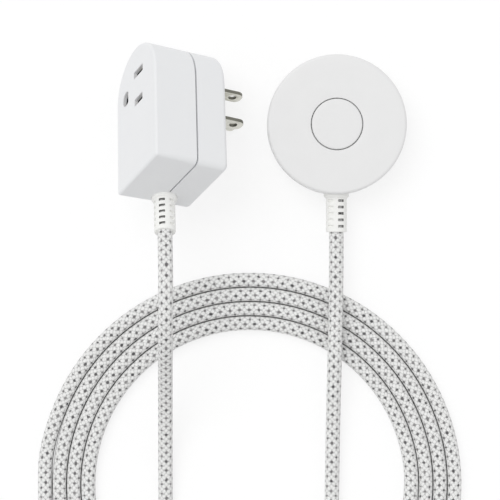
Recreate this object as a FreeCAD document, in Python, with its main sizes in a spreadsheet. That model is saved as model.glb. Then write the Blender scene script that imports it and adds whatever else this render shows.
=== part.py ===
import FreeCAD, Part
import math
import os
import re
import Sketcher

# A tabletop push switch: a round puck, a plug-in tap with one outlet, and the cord that joins them.
# The origin is the centre of the puck's foot pad on the table, +Z is up along the button,
# and the cord leaves the puck towards -Y. The driving dimensions are in millimetres and degrees.
SIZES = {
    # puck shells
    "puck_radius": 28.2,
    "puck_underside": 0.6,
    "parting_height": 9.0,
    "cover_height": 8.0,
    "cover_wall": 1.8,
    "cover_rounding": 1.2,
    "base_rounding": 4.0,
    "base_floor": 1.8,
    "pad_edge": 5.2,
    "pad_thickness": 1.2,
    "fit_gap": 0.1,
    # case screws of the puck
    "screw_inset": 7.6,
    "boss_radius": 3.0,
    "screw_radius": 1.2,
    "screw_head_radius": 2.2,
    "screw_head_height": 1.5,
    "screw_head_depth": 1.9,
    "screw_tip_gap": 1.1,
    "thread_gap": 0.05,
    # button
    "button_radius": 10.2,
    "button_gap": 0.35,
    "button_proud": 0.5,
    "button_wall": 1.6,
    "button_edge": 0.7,
    "button_travel": 2.5,
    "flange_reach": 1.4,
    "flange_thickness": 1.6,
    "flange_clearance": 0.3,
    "well_wall": 1.3,
    "well_depth": 3.0,
    # slider, spring and latch
    "stem_radius": 2.0,
    "socket_radius": 3.1,
    "slider_width": 5.9,
    "slider_clearance": 0.3,
    "tower_wall": 1.0,
    "tower_clearance": 0.8,
    "spring_wire": 0.6,
    "spring_radius": 6.6,
    "latch_radius": 0.35,
    "latch_height": 3.9,
    "latch_pivot_drop": 4.8,
    "track_width": 2.6,
    "track_depth": 0.9,
    # switch housing and contacts
    "housing_length": 20.0,
    "housing_width": 16.0,
    "housing_clearance": 0.8,
    "housing_wall": 1.2,
    "board_thickness": 0.9,
    "strip_thickness": 0.4,
    "strip_width": 3.0,
    "strip_reach": 14.0,
    "rivet_height": 0.3,
    "rivet_radius": 1.2,
    "contact_offset": 6.0,
    "contact_gap": 0.1,
    "bridge_length": 15.0,
    "bridge_thickness": 0.4,
    # cord clamp
    "clamp_inset": 9.2,
    "clamp_width": 4.0,
    "clamp_thickness": 1.5,
    "clamp_post_offset": 6.6,
    "clamp_post_radius": 2.1,
    "jacket_past_clamp": 1.5,
    # cord
    "cord_radius": 2.7,
    "coil_gap": 0.45,
    "coil_inner_radius": 66.1,
    "wire_radius": 0.8,
    # strain reliefs
    "relief_inset": 0.7,
    "collar_radius": 5.1,
    "collar_thickness": 1.9,
    "neck_radius": 3.9,
    "neck_length": 1.6,
    "inner_flange_radius": 4.6,
    "inner_flange_thickness": 1.3,
    "sleeve_radius": 4.25,
    "relief_length": 16.0,
    "slot_start": 2.9,
    "slot_pitch": 2.65,
    "slot_height": 1.1,
    "slot_width": 2.5,
    "slot_depth": 1.5,
    "bore_gap": 0.05,
    # tap shells
    "tap_width": 37.0,
    "tap_height": 58.0,
    "tap_depth": 31.0,
    "tap_seam": 17.8,
    "tap_wall": 2.2,
    "tap_arch": 18.95,
    "tap_shoulder": 19.7,
    "tap_foot_corner": 1.2,
    "tap_front_edge": 1.0,
    "tap_back_edge": 2.0,
    "seam_edge": 0.25,
    "tap_relief_x": 12.8,
    "tap_relief_seat": 0.6,
    # outlet and plug, to the common 15 A three-wire pattern
    "outlet_x": 2.4,
    "plug_x": 0.0,
    "pattern_y": 39.3,
    "blade_spacing": 12.7,
    "ground_offset": 11.9,
    "blade_width": 6.35,
    "blade_thickness": 1.52,
    "blade_length": 15.9,
    "blade_hole_radius": 1.6,
    "blade_hole_place": 11.9,
    "blade_shoulder": 1.4,
    "pin_radius": 2.4,
    "pin_length": 19.0,
    "neutral_slot": 8.1,
    "hot_slot": 7.0,
    "slot_opening": 2.6,
    "ground_hole_radius": 2.7,
    "ground_hole_flat": 1.9,
    "contact_sheet": 0.5,
    "contact_depth": 10.5,
    "contact_width": 5.6,
    "contact_mouth": 1.7,
    "carrier_wall": 1.2,
    # screws of the tap
    "tap_boss_radius": 2.8,
    "foot_screw_x": 12.4,
    "foot_screw_y": 7.0,
    "crown_screw_y": 52.4,
    # tap's attitude on the table
    "tap_yaw": 42.605,
    "tap_pitch": -52.619,
    "tap_roll": -47.155,
}

BOSS_ANGLES = (90, 210, 330)
SLOT_ROWS = 5
SLOT_COLUMNS = 6
SWITCH_SLOT_PHASE = 25
TAP_SLOT_PHASE = 50.5
SPRING_HALF_TURNS = 9
TAP_SCREWS = (("foot", "foot_screw_x", "foot_screw_y"), ("crown", "0", "crown_screw_y"))
COIL_STRANDS = 4
# each corner of a cord's route is rounded over this share of the shorter run beside it
ARC_SHARE = 0.45

Vector = FreeCAD.Vector
UP = Vector(0, 0, 1)
COIL_CENTRE = Vector(-35.2, -146.7, 2.7)

# The cord's lead from the tap's sleeve: it leaves the raised sleeve upwards, comes down over the
# coil's upper side and swings round inside the ring to the start of the coil.
TAP_LEAD = [
    (-68.57, -43.89, 38.34),
    (-67.877, -63.578, 48.133),
    (-68.2, -84.7, 43.5),
    (-68.9, -99.3, 25.9),
    (-69.4, -118.2, 11.1),
    (-69.7, -146.0, 2.7),
    (-69.4, -170.3, 2.7),
    (-59.6, -187.1, 2.7),
    (-42.8, -196.7, 2.7),
    (-24.5, -196.7, 2.7),
]
# The lead from the end of the coil: it climbs over the lower strands, drops inside the ring,
# rises in a long low hump over the upper strands and runs level into the puck's sleeve.
SWITCH_LEAD = [
    (-118.85, -152.1, 2.7),
    (-118.85, -172.4, 2.7),
    (-103.1, -199.6, 4.9),
    (-75.9, -215.3, 10.4),
    (-44.5, -215.3, 11.2),
    (-17.3, -199.6, 10.8),
    (-2.1, -172.7, 5.4),
    (-1.5, -146.0, 2.9),
    (-1.2, -120.0, 5.2),
    (-0.8, -98.0, 10.5),
    (0.0, -62.6, 9.0),
    (0.0, -43.5, 9.0),
]

doc = FreeCAD.newDocument("tabletop_switch")
sheet = doc.addObject("Spreadsheet::Sheet", "sizes")
for row, (alias, number) in enumerate(SIZES.items(), start=1):
    sheet.set("A%d" % row, alias)
    sheet.set("B%d" % row, str(number))
    sheet.setAlias("B%d" % row, alias)
doc.recompute()


def size(alias):
    return sheet.get(alias)


def formula(words):
    """An expression on the sheet's cells, from one written with their bare names."""
    named = lambda match: "sizes." + match[0] if match[0] in SIZES else match[0]
    return re.sub(r"[a-z_]+", named, str(words))


def bind(thing, **formulas):
    """Bind properties to formulas; two underscores in a name stand for a dot."""
    for name, words in formulas.items():
        thing.setExpression(name.replace("__", "."), formula(words))
    return thing


def put(thing, x="0", y="0", z="0"):
    return bind(thing, Placement__Base__x=x, Placement__Base__y=y, Placement__Base__z=z)


# Places in the puck that several pieces share: out from its axis, then up from the table.
PAD_RADIUS = "(puck_radius - pad_edge)"
SCREW_CIRCLE = "(puck_radius - screw_inset)"
CLAMP_PLACE = "(puck_radius - clamp_inset)"
JACKET_END = "(puck_radius - clamp_inset - clamp_width / 2 - jacket_past_clamp)"
RELIEF_SEAT = "(puck_radius - relief_inset)"
PUCK_TOP = "(parting_height + cover_height)"
CEILING = "(%s - cover_wall)" % PUCK_TOP
BUTTON_TOP = "(%s + button_proud)" % PUCK_TOP
BUTTON_CEILING = "(%s - button_wall)" % BUTTON_TOP
FLANGE_TOP = "(%s - flange_clearance)" % CEILING
FLANGE_LOW = "(%s - flange_thickness)" % FLANGE_TOP
FLOOR = "(pad_thickness + base_floor)"
BOARD_TOP = "(pad_thickness + base_floor + board_thickness)"
STRIP_TOP = "(pad_thickness + base_floor + board_thickness + strip_thickness)"
RIVET_TOP = "(pad_thickness + base_floor + board_thickness + strip_thickness + rivet_height)"
BRIDGE_LOW = "(%s + contact_gap + button_travel)" % RIVET_TOP
SLIDER_LOW = "(%s + bridge_thickness)" % BRIDGE_LOW
# the pressed button stays clear of the housing and of its tower
HOUSING_TOP = "(%s - button_travel - housing_clearance)" % FLANGE_LOW
TOWER_TOP = "(%s - button_travel - tower_clearance)" % BUTTON_CEILING
SLIDER_TOP = "(%s - slider_clearance)" % TOWER_TOP
SCREW_HEAD = "(pad_thickness + screw_head_depth - screw_head_height)"
SCREW_TIP = "(%s - screw_tip_gap)" % CEILING
LATCH_PIVOT = "(%s - latch_pivot_drop)" % HOUSING_TOP
CONTACT_FRONT = "(-tap_wall - 0.3)"
LATCH_PLACE = "(slider_width / 2 + slider_clearance + latch_radius + 0.3)"


def value(words):
    """The number that a formula of plus, minus, times and over gives, read from a helper cell."""
    sheet.set("D1", "=" + re.sub("sizes.", "", formula(words)))
    sheet.recompute()
    return float(sheet.get("D1"))


def new_body(label):
    body = doc.addObject("PartDesign::Body", label)
    body.Label = label
    return body


def new_sketch(body, role, offset="0"):
    """A sketch on one of the body's own origin planes, moved along that plane's normal."""
    sketch = body.newObject("Sketcher::SketchObject", body.Name + "_sketch")
    plane = [item for item in body.Origin.OriginFeatures if item.Role == role][0]
    sketch.AttachmentSupport = [(plane, "")]
    sketch.MapMode = "FlatFace"
    bind(sketch, AttachmentOffset__Base__z=offset)
    return sketch


def draw_polygon(sketch, corners):
    """A closed polygon whose corners are pairs of formulas."""
    points = [Vector(value(x), value(y), 0) for x, y in corners]
    first = sketch.GeometryCount
    count = len(points)
    for index in range(count):
        sketch.addGeometry(Part.LineSegment(points[index], points[(index + 1) % count]), False)
    for index in range(count):
        after = (index + 1) % count
        sketch.addConstraint(Sketcher.Constraint("Coincident", first + index, 2, first + after, 1))
    for index, (x, y) in enumerate(corners):
        for kind, words, number in (("DistanceX", x, points[index].x), ("DistanceY", y, points[index].y)):
            place = sketch.addConstraint(Sketcher.Constraint(kind, -1, 1, first + index, 1, number))
            sketch.setExpression("Constraints[%d]" % place, formula(words))


def draw_rectangle(sketch, x, y, length, width):
    """A rectangle by its centre and its two sides."""
    left = "(%s) - (%s) / 2" % (x, length)
    right = "(%s) + (%s) / 2" % (x, length)
    low = "(%s) - (%s) / 2" % (y, width)
    high = "(%s) + (%s) / 2" % (y, width)
    draw_polygon(sketch, [(left, low), (right, low), (right, high), (left, high)])


def revolve(body, corners):
    """Turn a profile of radius and height round the vertical axis."""
    sketch = new_sketch(body, "XZ_Plane")
    draw_polygon(sketch, corners)
    turn = body.newObject("PartDesign::Revolution", body.Name + "_turn")
    turn.Profile = sketch
    turn.ReferenceAxis = (sketch, ["V_Axis"])
    turn.Angle = 360
    body.Tip = turn
    doc.recompute()
    return turn


def pad(body, sketch, length):
    feature = body.newObject("PartDesign::Pad", body.Name + "_pad")
    feature.Profile = sketch
    bind(feature, Length=length)
    body.Tip = feature
    doc.recompute()
    return feature


def pocket(body, sketch, length, upward=False):
    """Cut a sketch away: downward from its plane, or upward. It has to remove something."""
    before = body.Shape.Volume
    feature = body.newObject("PartDesign::Pocket", body.Name + "_pocket")
    feature.Profile = sketch
    feature.Reversed = upward
    bind(feature, Length=length)
    body.Tip = feature
    doc.recompute()
    if body.Shape.Volume > before - 0.01:
        raise RuntimeError(body.Label + ": a pocket cuts nothing")
    return feature


def round_edges(body, radius, wanted):
    """Fillet the body's edges that the test picks."""
    base = body.Tip
    names = ["Edge%d" % (n + 1) for n, edge in enumerate(base.Shape.Edges) if wanted(edge)]
    feature = body.newObject("PartDesign::Fillet", body.Name + "_fillet")
    feature.Base = (base, names)
    bind(feature, Radius=radius)
    body.Tip = feature
    doc.recompute()
    return feature


def at_height(edge, height):
    box = edge.BoundBox
    return abs(box.ZMin - height) < 1e-4 and abs(box.ZMax - height) < 1e-4


def box(label, length, width, height, x, y, z):
    """A block by its three sides and the centre of its underside."""
    thing = doc.addObject("Part::Box", label)
    bind(thing, Length=length, Width=width, Height=height)
    return put(thing, "(%s) - (%s) / 2" % (x, length), "(%s) - (%s) / 2" % (y, width), z)


def cylinder(label, radius, height, x="0", y="0", z="0", axis=None):
    """A cylinder from its first end, along +Z or along the axis given."""
    thing = doc.addObject("Part::Cylinder", label)
    bind(thing, Radius=radius, Height=height)
    if axis:
        thing.Placement.Rotation = FreeCAD.Rotation(UP, Vector(*axis))
    return put(thing, x, y, z)


def join(label, pieces):
    thing = doc.addObject("Part::MultiFuse", label)
    thing.Shapes = pieces
    thing.Label = label
    doc.recompute()
    return thing


def group(label, pieces):
    thing = doc.addObject("Part::Compound", label)
    thing.Links = pieces
    thing.Label = label
    doc.recompute()
    return thing


def cut(label, base, tools):
    """The base less the tools, which are first made one."""
    tool = tools[0] if len(tools) == 1 else join(label + "_tools", tools)
    thing = doc.addObject("Part::Cut", label)
    thing.Base = base
    thing.Tool = tool
    base.Label = label + "_blank" if base.Label == label else base.Label
    thing.Label = label
    doc.recompute()
    return thing


def feature(label, shape, placement=None):
    thing = doc.addObject("Part::Feature", label)
    thing.Label = label
    thing.Shape = shape
    if placement:
        thing.Placement = placement
    return thing


# Tubes along routes of straight runs and tangent arcs.
def rounded_route(label, points):
    """A wire of straight runs joined by tangent arcs, and the least radius in it."""
    edges = []
    radii = []
    start = points[0]
    for before, corner, after in zip(points, points[1:], points[2:]):
        back = before - corner
        ahead = after - corner
        reach = ARC_SHARE * min(back.Length, ahead.Length)
        back.normalize()
        ahead.normalize()
        half_turn = (math.pi - back.getAngle(ahead)) / 2
        radius = reach / math.tan(half_turn)
        inward = (back + ahead).normalize()
        entry = corner + back * reach
        leave = corner + ahead * reach
        middle = corner + inward * (radius / math.cos(half_turn) - radius)
        edges.append(Part.LineSegment(start, entry).toShape())
        edges.append(Part.Arc(entry, middle, leave).toShape())
        radii.append(radius)
        start = leave
    edges.append(Part.LineSegment(start, points[-1]).toShape())
    if radii:
        print(label, "radii", [round(radius, 1) for radius in radii])
    return Part.Wire(edges)


def tube(label, wire, radius):
    """A round tube along a wire; its volume has to be its section times its length."""
    first = wire.Edges[0]
    start = first.valueAt(first.FirstParameter)
    heading = first.tangentAt(first.FirstParameter)
    ring = Part.Wire(Part.Circle(start, heading, radius).toShape())
    solid = wire.makePipeShell([ring], True, False)
    expected = math.pi * radius ** 2 * wire.Length
    if abs(solid.Volume / expected - 1) > 0.005:
        raise RuntimeError("%s: volume %.1f, expected %.1f" % (label, solid.Volume, expected))
    print(label, "length %.1f mm" % wire.Length)
    return solid


def least_gap(wire, radius, apart, step=2.0):
    """The least gap of a tube to itself, between points at least so far apart along it."""
    points = wire.discretize(Distance=step)
    skip = int(apart / step) + 1
    least = min(
        (points[first] - points[second]).Length
        for first in range(len(points))
        for second in range(first + skip, len(points))
    )
    return least - 2 * radius


# The strain relief, made along -Y from its seat on the wall: a collar outside, a neck through
# the wall, a flange inside, and a sleeve with rows of slots all round that let it bend.
def strain_relief(label, phase, placement):
    bore = size("cord_radius") + size("bore_gap")
    seat = Vector(0, 0, 0)
    out = Vector(0, -1, 0)
    inner = seat - out * size("neck_length")
    solid = Part.makeCylinder(size("collar_radius"), size("collar_thickness"), seat, out)
    rim = [edge for edge in solid.Edges if abs(edge.BoundBox.YMax + size("collar_thickness")) < 1e-4]
    solid = solid.makeFillet(size("collar_thickness") * 0.25, rim)
    parts = [
        Part.makeCylinder(size("sleeve_radius"), size("relief_length"), seat, out),
        Part.makeCylinder(size("neck_radius"), size("neck_length"), inner, out),
        Part.makeCylinder(
            size("inner_flange_radius"), size("inner_flange_thickness"), inner, out * -1
        ),
    ]
    solid = solid.multiFuse(parts)
    length = size("relief_length") + size("neck_length") + size("inner_flange_thickness")
    start = inner - out * size("inner_flange_thickness")
    solid = solid.cut(Part.makeCylinder(bore, length, start, out))
    slots = []
    for row in range(SLOT_ROWS):
        along = size("slot_start") + row * size("slot_pitch") - size("slot_height") / 2
        for column in range(SLOT_COLUMNS):
            slot = Part.makeBox(size("slot_width"), size("slot_height"), 2 * size("slot_depth"))
            corner = Vector(
                -size("slot_width") / 2,
                -along - size("slot_height"),
                size("sleeve_radius") - size("slot_depth"),
            )
            slot.translate(corner)
            slot.rotate(seat, Vector(0, 1, 0), phase + column * 360.0 / SLOT_COLUMNS)
            slots.append(slot)
    solid = solid.cut(Part.makeCompound(slots)).removeSplitter()
    return feature(label, solid.Solids[0], placement)


def relief_seat(label):
    """What a strain relief takes out of the walls that hold it, made the same way."""
    gap = size("bore_gap")
    seat = Vector(0, 0, 0)
    out = Vector(0, -1, 0)
    deep = size("neck_length") + size("inner_flange_thickness") + size("fit_gap")
    far = size("relief_length")
    neck = Part.makeCylinder(size("neck_radius") + gap, deep, seat - out * deep, out)
    collar = Part.makeCylinder(size("collar_radius") + gap, far, seat, out)
    flange = Part.makeCylinder(
        size("inner_flange_radius") + gap,
        size("inner_flange_thickness") + size("fit_gap"),
        seat - out * size("neck_length"),
        out * -1,
    )
    return neck.multiFuse([collar, flange])


PUCK_RELIEF = FreeCAD.Placement(
    Vector(0, -value(RELIEF_SEAT), size("parting_height")), FreeCAD.Rotation()
)
TAP_TURN = FreeCAD.Rotation(size("tap_yaw"), size("tap_pitch"), size("tap_roll"))
# the tap is set so that the mouth of its sleeve is where its lead begins
TAP_MOUTH = Vector(
    -size("tap_relief_x"),
    size("tap_relief_seat") - size("relief_length"),
    -size("tap_seam"),
)
TAP = FreeCAD.Placement(Vector(*TAP_LEAD[0]) - TAP_TURN.multVec(TAP_MOUTH), TAP_TURN)
TAP_RELIEF_LOCAL = FreeCAD.Placement(
    Vector(-size("tap_relief_x"), size("tap_relief_seat"), -size("tap_seam")),
    FreeCAD.Rotation(),
)


# Puck shells
def puck_base():
    blank = new_body("base_shell")
    revolve(blank, [
        ("0", "pad_thickness"),
        (PAD_RADIUS + " + fit_gap", "pad_thickness"),
        (PAD_RADIUS + " + fit_gap", "puck_underside"),
        ("puck_radius", "puck_underside"),
        ("puck_radius", "parting_height"),
        ("puck_radius - cover_wall", "parting_height"),
        ("puck_radius - cover_wall", FLOOR),
        ("0", FLOOR),
    ])
    rim = lambda edge: (
        at_height(edge, size("puck_underside")) and edge.BoundBox.XMax > value(PAD_RADIUS) + 1
    )
    round_edges(blank, "base_rounding", rim)
    posts = []
    holes = []
    for angle in BOSS_ANGLES:
        x = "%s * cos(%d deg)" % (SCREW_CIRCLE, angle)
        y = "%s * sin(%d deg)" % (SCREW_CIRCLE, angle)
        name = "base_boss_%d" % angle
        height = "parting_height - pad_thickness"
        posts.append(cylinder(name, "boss_radius", height, x, y, "pad_thickness"))
        holes.append(cylinder(name + "_hole", "screw_radius + fit_gap", "parting_height + 1", x, y, "0"))
        deep = "screw_head_depth + 0.2"
        holes.append(cylinder(
            name + "_sink", "screw_head_radius + fit_gap", deep, x, y, "pad_thickness - 0.2"
        ))
    for side in (-1, 1):
        x = "%d * clamp_post_offset" % side
        post = "clamp_post_%s" % ("right" if side > 0 else "left")
        height = "parting_height + cord_radius - %s" % FLOOR
        posts.append(cylinder(post, "clamp_post_radius", height, x, "-" + CLAMP_PLACE, FLOOR))
        holes.append(cylinder(
            post + "_hole", "screw_radius * 0.7 + thread_gap", "5", x, "-" + CLAMP_PLACE,
            "parting_height + cord_radius - 4.9",
        ))
    saddle = "parting_height - cord_radius - %s" % FLOOR
    posts.append(box("cord_saddle", "7", "clamp_width", saddle, "0", "-" + CLAMP_PLACE, FLOOR))
    walls = join("base_walls", [blank] + posts)
    holes.append(feature("base_relief_seat", relief_seat("base"), PUCK_RELIEF))
    blank.Label = "base_blank"
    return cut("base_shell", walls, holes)


def puck_cover():
    blank = new_body("top_cover")
    revolve(blank, [
        ("button_radius + button_gap", PUCK_TOP),
        ("puck_radius", PUCK_TOP),
        ("puck_radius", "parting_height"),
        ("puck_radius - cover_wall", "parting_height"),
        ("puck_radius - cover_wall", CEILING),
        ("button_radius + flange_reach + button_gap + well_wall", CEILING),
        ("button_radius + flange_reach + button_gap + well_wall", "%s - well_depth" % CEILING),
        ("button_radius + flange_reach + button_gap", "%s - well_depth" % CEILING),
        ("button_radius + flange_reach + button_gap", CEILING),
        ("button_radius + button_gap", CEILING),
    ])
    outer = lambda edge: (
        at_height(edge, value(PUCK_TOP)) and edge.BoundBox.XMax > size("puck_radius") - 0.1
    )
    round_edges(blank, "cover_rounding", outer)
    lip = lambda edge: (
        at_height(edge, value(PUCK_TOP)) and edge.BoundBox.XMax < size("button_radius") + 1
    )
    round_edges(blank, "0.3", lip)
    posts = []
    holes = []
    for angle in BOSS_ANGLES:
        x = "%s * cos(%d deg)" % (SCREW_CIRCLE, angle)
        y = "%s * sin(%d deg)" % (SCREW_CIRCLE, angle)
        name = "cover_boss_%d" % angle
        height = "%s - parting_height + 0.2" % CEILING
        posts.append(cylinder(name, "boss_radius", height, x, y, "parting_height"))
        deep = "%s + 0.3 - parting_height" % SCREW_TIP
        holes.append(cylinder(
            name + "_hole", "screw_radius + thread_gap", deep, x, y, "parting_height"
        ))
    walls = join("cover_walls", [blank] + posts)
    holes.append(feature("cover_relief_seat", relief_seat("cover"), PUCK_RELIEF))
    blank.Label = "cover_blank"
    return cut("top_cover", walls, holes)


def foot_pad():
    body = new_body("foot_pad")
    revolve(body, [
        ("0", "0"),
        (PAD_RADIUS, "0"),
        (PAD_RADIUS, "pad_thickness"),
        ("0", "pad_thickness"),
    ])
    round_edges(body, "0.3", lambda edge: at_height(edge, 0) and edge.BoundBox.XMax > 1)
    return body


def screw(label, x, y, z, length, radius, head, head_height):
    """A screw with its head's outer face at z and its point above; the drive is a round recess."""
    top = "(%s) + (%s)" % (z, head_height)
    shaft = cylinder(label + "_shaft", radius, "(%s) - (%s)" % (length, head_height), x, y, top)
    cap = cylinder(label + "_head", head, head_height, x, y, z)
    recess = cylinder(label + "_recess", "(%s) * 0.5" % head, "(%s) * 0.5" % head_height, x, y, z)
    return cut(label, join(label + "_blank", [shaft, cap]), [recess])


def case_screws():
    screws = []
    for angle in BOSS_ANGLES:
        x = "%s * cos(%d deg)" % (SCREW_CIRCLE, angle)
        y = "%s * sin(%d deg)" % (SCREW_CIRCLE, angle)
        length = "%s - %s" % (SCREW_TIP, SCREW_HEAD)
        screws.append(screw(
            "case_screw_%d" % angle, x, y, SCREW_HEAD, length, "screw_radius",
            "screw_head_radius", "screw_head_height",
        ))
    return group("case_screws", screws)


# Button, slider and spring
def button_cap():
    body = new_body("button_cap")
    revolve(body, [
        ("0", BUTTON_CEILING),
        ("0", BUTTON_TOP),
        ("button_radius", BUTTON_TOP),
        ("button_radius", FLANGE_TOP),
        ("button_radius + flange_reach", FLANGE_TOP),
        ("button_radius + flange_reach", FLANGE_LOW),
        ("button_radius - button_wall", FLANGE_LOW),
        ("button_radius - button_wall", BUTTON_CEILING),
        ("socket_radius", BUTTON_CEILING),
        ("socket_radius", SLIDER_TOP),
        ("stem_radius + thread_gap", SLIDER_TOP),
        ("stem_radius + thread_gap", BUTTON_CEILING),
    ])
    round_edges(body, "button_edge", lambda edge: at_height(edge, value(BUTTON_TOP)))
    return body


def slider():
    height = "%s - %s" % (SLIDER_TOP, SLIDER_LOW)
    block = box("slider_block", "slider_width", "slider_width", height, "0", "0", SLIDER_LOW)
    stem = cylinder(
        "slider_stem", "stem_radius", "%s - %s" % (BUTTON_CEILING, SLIDER_TOP), "0", "0", SLIDER_TOP
    )
    # the latch's tip runs in a pocket in the slider's back, beside a small raised island
    low = "%s + latch_height - 2 * latch_radius" % LATCH_PIVOT
    track = box(
        "latch_track", "track_width", "2 * track_depth", "button_travel + 3.2 * latch_radius",
        "0.2", "slider_width / 2", low,
    )
    island = box(
        "latch_island", "0.4", "track_depth", "1.2", "-0.75", "(slider_width - track_depth) / 2",
        low + " + 1.2",
    )
    tracked = cut("slider_body", join("slider_blank", [block, stem]), [track])
    return join("slider", [tracked, island])


def contact_bridge():
    strip = box(
        "bridge_strip", "bridge_length", "strip_width", "bridge_thickness", "0", "0", BRIDGE_LOW
    )
    hole = cylinder("bridge_hole", "0.8", "2 * bridge_thickness", "0", "0", BRIDGE_LOW + " - 0.1")
    return cut("contact_bridge", strip, [hole])


def biarc(start, start_way, end, end_way):
    """Two arcs from start to end that leave and arrive along the given unit directions."""
    chord = end - start
    ways = start_way + end_way
    slack = 2 * (1 - start_way.dot(end_way))
    along = chord.dot(ways)
    reach = (-along + math.sqrt(along ** 2 + slack * chord.dot(chord))) / slack
    joint = (start + end + (start_way - end_way) * reach) / 2
    edges = []
    for first, way, last in ((start, start_way, joint), (end, end_way * -1, joint)):
        span = last - first
        length = span.Length
        span = span / length
        side = way - span * way.dot(span)
        bulge = math.tan(way.getAngle(span) / 2) * length / 2
        middle = (first + last) / 2 + side.normalize() * bulge
        ends = (first, last) if way is start_way else (last, first)
        edges.append(Part.Arc(ends[0], middle, ends[1]).toShape())
    return edges


def return_spring():
    """A coil spring round the tower, between the housing's top and the button's ceiling."""
    wire_radius = size("spring_wire") / 2
    radius = size("spring_radius")
    low = value(HOUSING_TOP) + wire_radius + 0.02
    high = value(BUTTON_CEILING) - wire_radius - 0.02
    climb = (high - low) / SPRING_HALF_TURNS
    slope = climb / (math.pi * radius)
    level = math.hypot(1, slope)
    edges = []
    # each quarter turn is one pair of arcs
    for quarter in range(2 * SPRING_HALF_TURNS):
        ends = []
        for step in (quarter, quarter + 1):
            angle = step * math.pi / 2
            place = Vector(radius * math.cos(angle), radius * math.sin(angle), low + climb * step / 2)
            way = Vector(-math.sin(angle), math.cos(angle), slope) / level
            ends += [place, way]
        edges += biarc(*ends)
    path = Part.Wire(edges)
    solid = tube("return_spring", path, wire_radius)
    gap = least_gap(path, wire_radius, 4 * radius, 0.7)
    print("return_spring least gap %.2f mm" % gap)
    return feature("return_spring", solid)


def latch_wire():
    """A bent wire: foot in the housing's wall, upright beside the slider, tip in its track."""
    radius = size("latch_radius")
    place = value(LATCH_PLACE)
    pivot = value(LATCH_PIVOT)
    wall = size("housing_width") / 2 - size("housing_wall")
    tip = size("slider_width") / 2 - size("track_depth") + 0.3
    points = [
        Vector(0, wall + 0.7, pivot),
        Vector(0, place, pivot),
        Vector(0, place, pivot + size("latch_height")),
        Vector(0, tip, pivot + size("latch_height")),
    ]
    return feature("latch_wire", tube("latch_wire", rounded_route("latch_wire", points), radius))


# Switch housing, board and terminals
def switch_board():
    plate = box(
        "board_plate", "housing_length", "housing_width", "board_thickness", "0", "0", FLOOR
    )
    hole = cylinder("board_key", "1", "2 * board_thickness", "0", "-5", FLOOR + " - 0.1")
    return cut("terminal_board", plate, [hole])


def switch_housing():
    height = "%s - %s" % (HOUSING_TOP, BOARD_TOP)
    shell = box("housing_shell", "housing_length", "housing_width", height, "0", "0", BOARD_TOP)
    side = "slider_width + 2 * slider_clearance + 2 * tower_wall"
    rise = "%s - %s + 0.2" % (TOWER_TOP, HOUSING_TOP)
    tower = box("housing_tower", side, side, rise, "0", "0", HOUSING_TOP + " - 0.2")
    room = box(
        "housing_room", "housing_length - 2 * housing_wall", "housing_width - 2 * housing_wall",
        height + " - housing_wall + 0.2", "0", "0", BOARD_TOP + " - 0.2",
    )
    hole_side = "slider_width + 2 * slider_clearance"
    low = HOUSING_TOP + " - housing_wall - 0.2"
    well = box("slider_bore", hole_side, hole_side, "20", "0", "0", low)
    # the latch wire swings in a slot through the tower's back wall
    slot = box(
        "latch_slot", "2.4", "4 * latch_radius + slider_clearance + 0.6", "20", "0.25",
        "slider_width / 2 + (4 * latch_radius + slider_clearance + 0.6) / 2 - 0.1", low,
    )
    foot = cylinder(
        "latch_foot_hole", "latch_radius + 0.1", "housing_wall * 0.75", "0",
        "housing_width / 2 - housing_wall - 0.1", LATCH_PIVOT, (0, 1, 0),
    )
    notches = [
        box(
            "strip_notch_" + name, "4", "strip_width + 2 * fit_gap", "strip_thickness + fit_gap + 0.2",
            "%d * (housing_length / 2)" % side_sign, "0", BOARD_TOP + " - 0.2",
        )
        for name, side_sign in (("left", -1), ("right", 1))
    ]
    blank = join("housing_blank", [shell, tower])
    return cut("switch_housing", blank, [room, well, slot, foot] + notches)


def terminal(label, side):
    """A brass strip on the board, with a riveted contact inside and a solder tab outside."""
    inner = "contact_offset - rivet_radius - 0.3"
    length = "strip_reach - contact_offset + rivet_radius + 0.3"
    strip = box(
        label + "_strip", length, "strip_width", "strip_thickness",
        "%d * (strip_reach + %s) / 2" % (side, inner), "0", BOARD_TOP,
    )
    rivet = cylinder(
        label + "_rivet", "rivet_radius", "rivet_height + strip_thickness",
        "%d * contact_offset" % side, "0", BOARD_TOP,
    )
    return join(label, [strip, rivet])


def cord_clamp():
    z = "parting_height + cord_radius"
    length = "2 * clamp_post_offset + 2 * clamp_post_radius"
    bar = box("clamp_bar", length, "clamp_width", "clamp_thickness", "0", "-" + CLAMP_PLACE, z)
    holes = [
        cylinder(
            "clamp_hole_" + name, "screw_radius * 0.7 + fit_gap", "2 * clamp_thickness",
            "%d * clamp_post_offset" % side, "-" + CLAMP_PLACE, z + " - 0.1",
        )
        for name, side in (("left", -1), ("right", 1))
    ]
    return cut("cord_clamp", bar, holes)


def clamp_screws():
    screws = []
    y = "-" + CLAMP_PLACE
    top = "parting_height + cord_radius + clamp_thickness"
    for name, side in (("left", -1), ("right", 1)):
        x = "%d * clamp_post_offset" % side
        head = cylinder("clamp_head_" + name, "screw_radius * 1.3", "1.1", x, y, top)
        shaft = cylinder(
            "clamp_shaft_" + name, "screw_radius * 0.7", "clamp_thickness + 4", x, y,
            top + " - clamp_thickness - 4",
        )
        drive = box("clamp_drive_" + name, "screw_radius * 1.6", "0.5", "0.5", x, y, top + " + 0.6")
        blank = join("clamp_screw_blank_" + name, [head, shaft])
        screws.append(cut("clamp_screw_" + name, blank, [drive]))
    return group("clamp_screws", screws)


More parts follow.
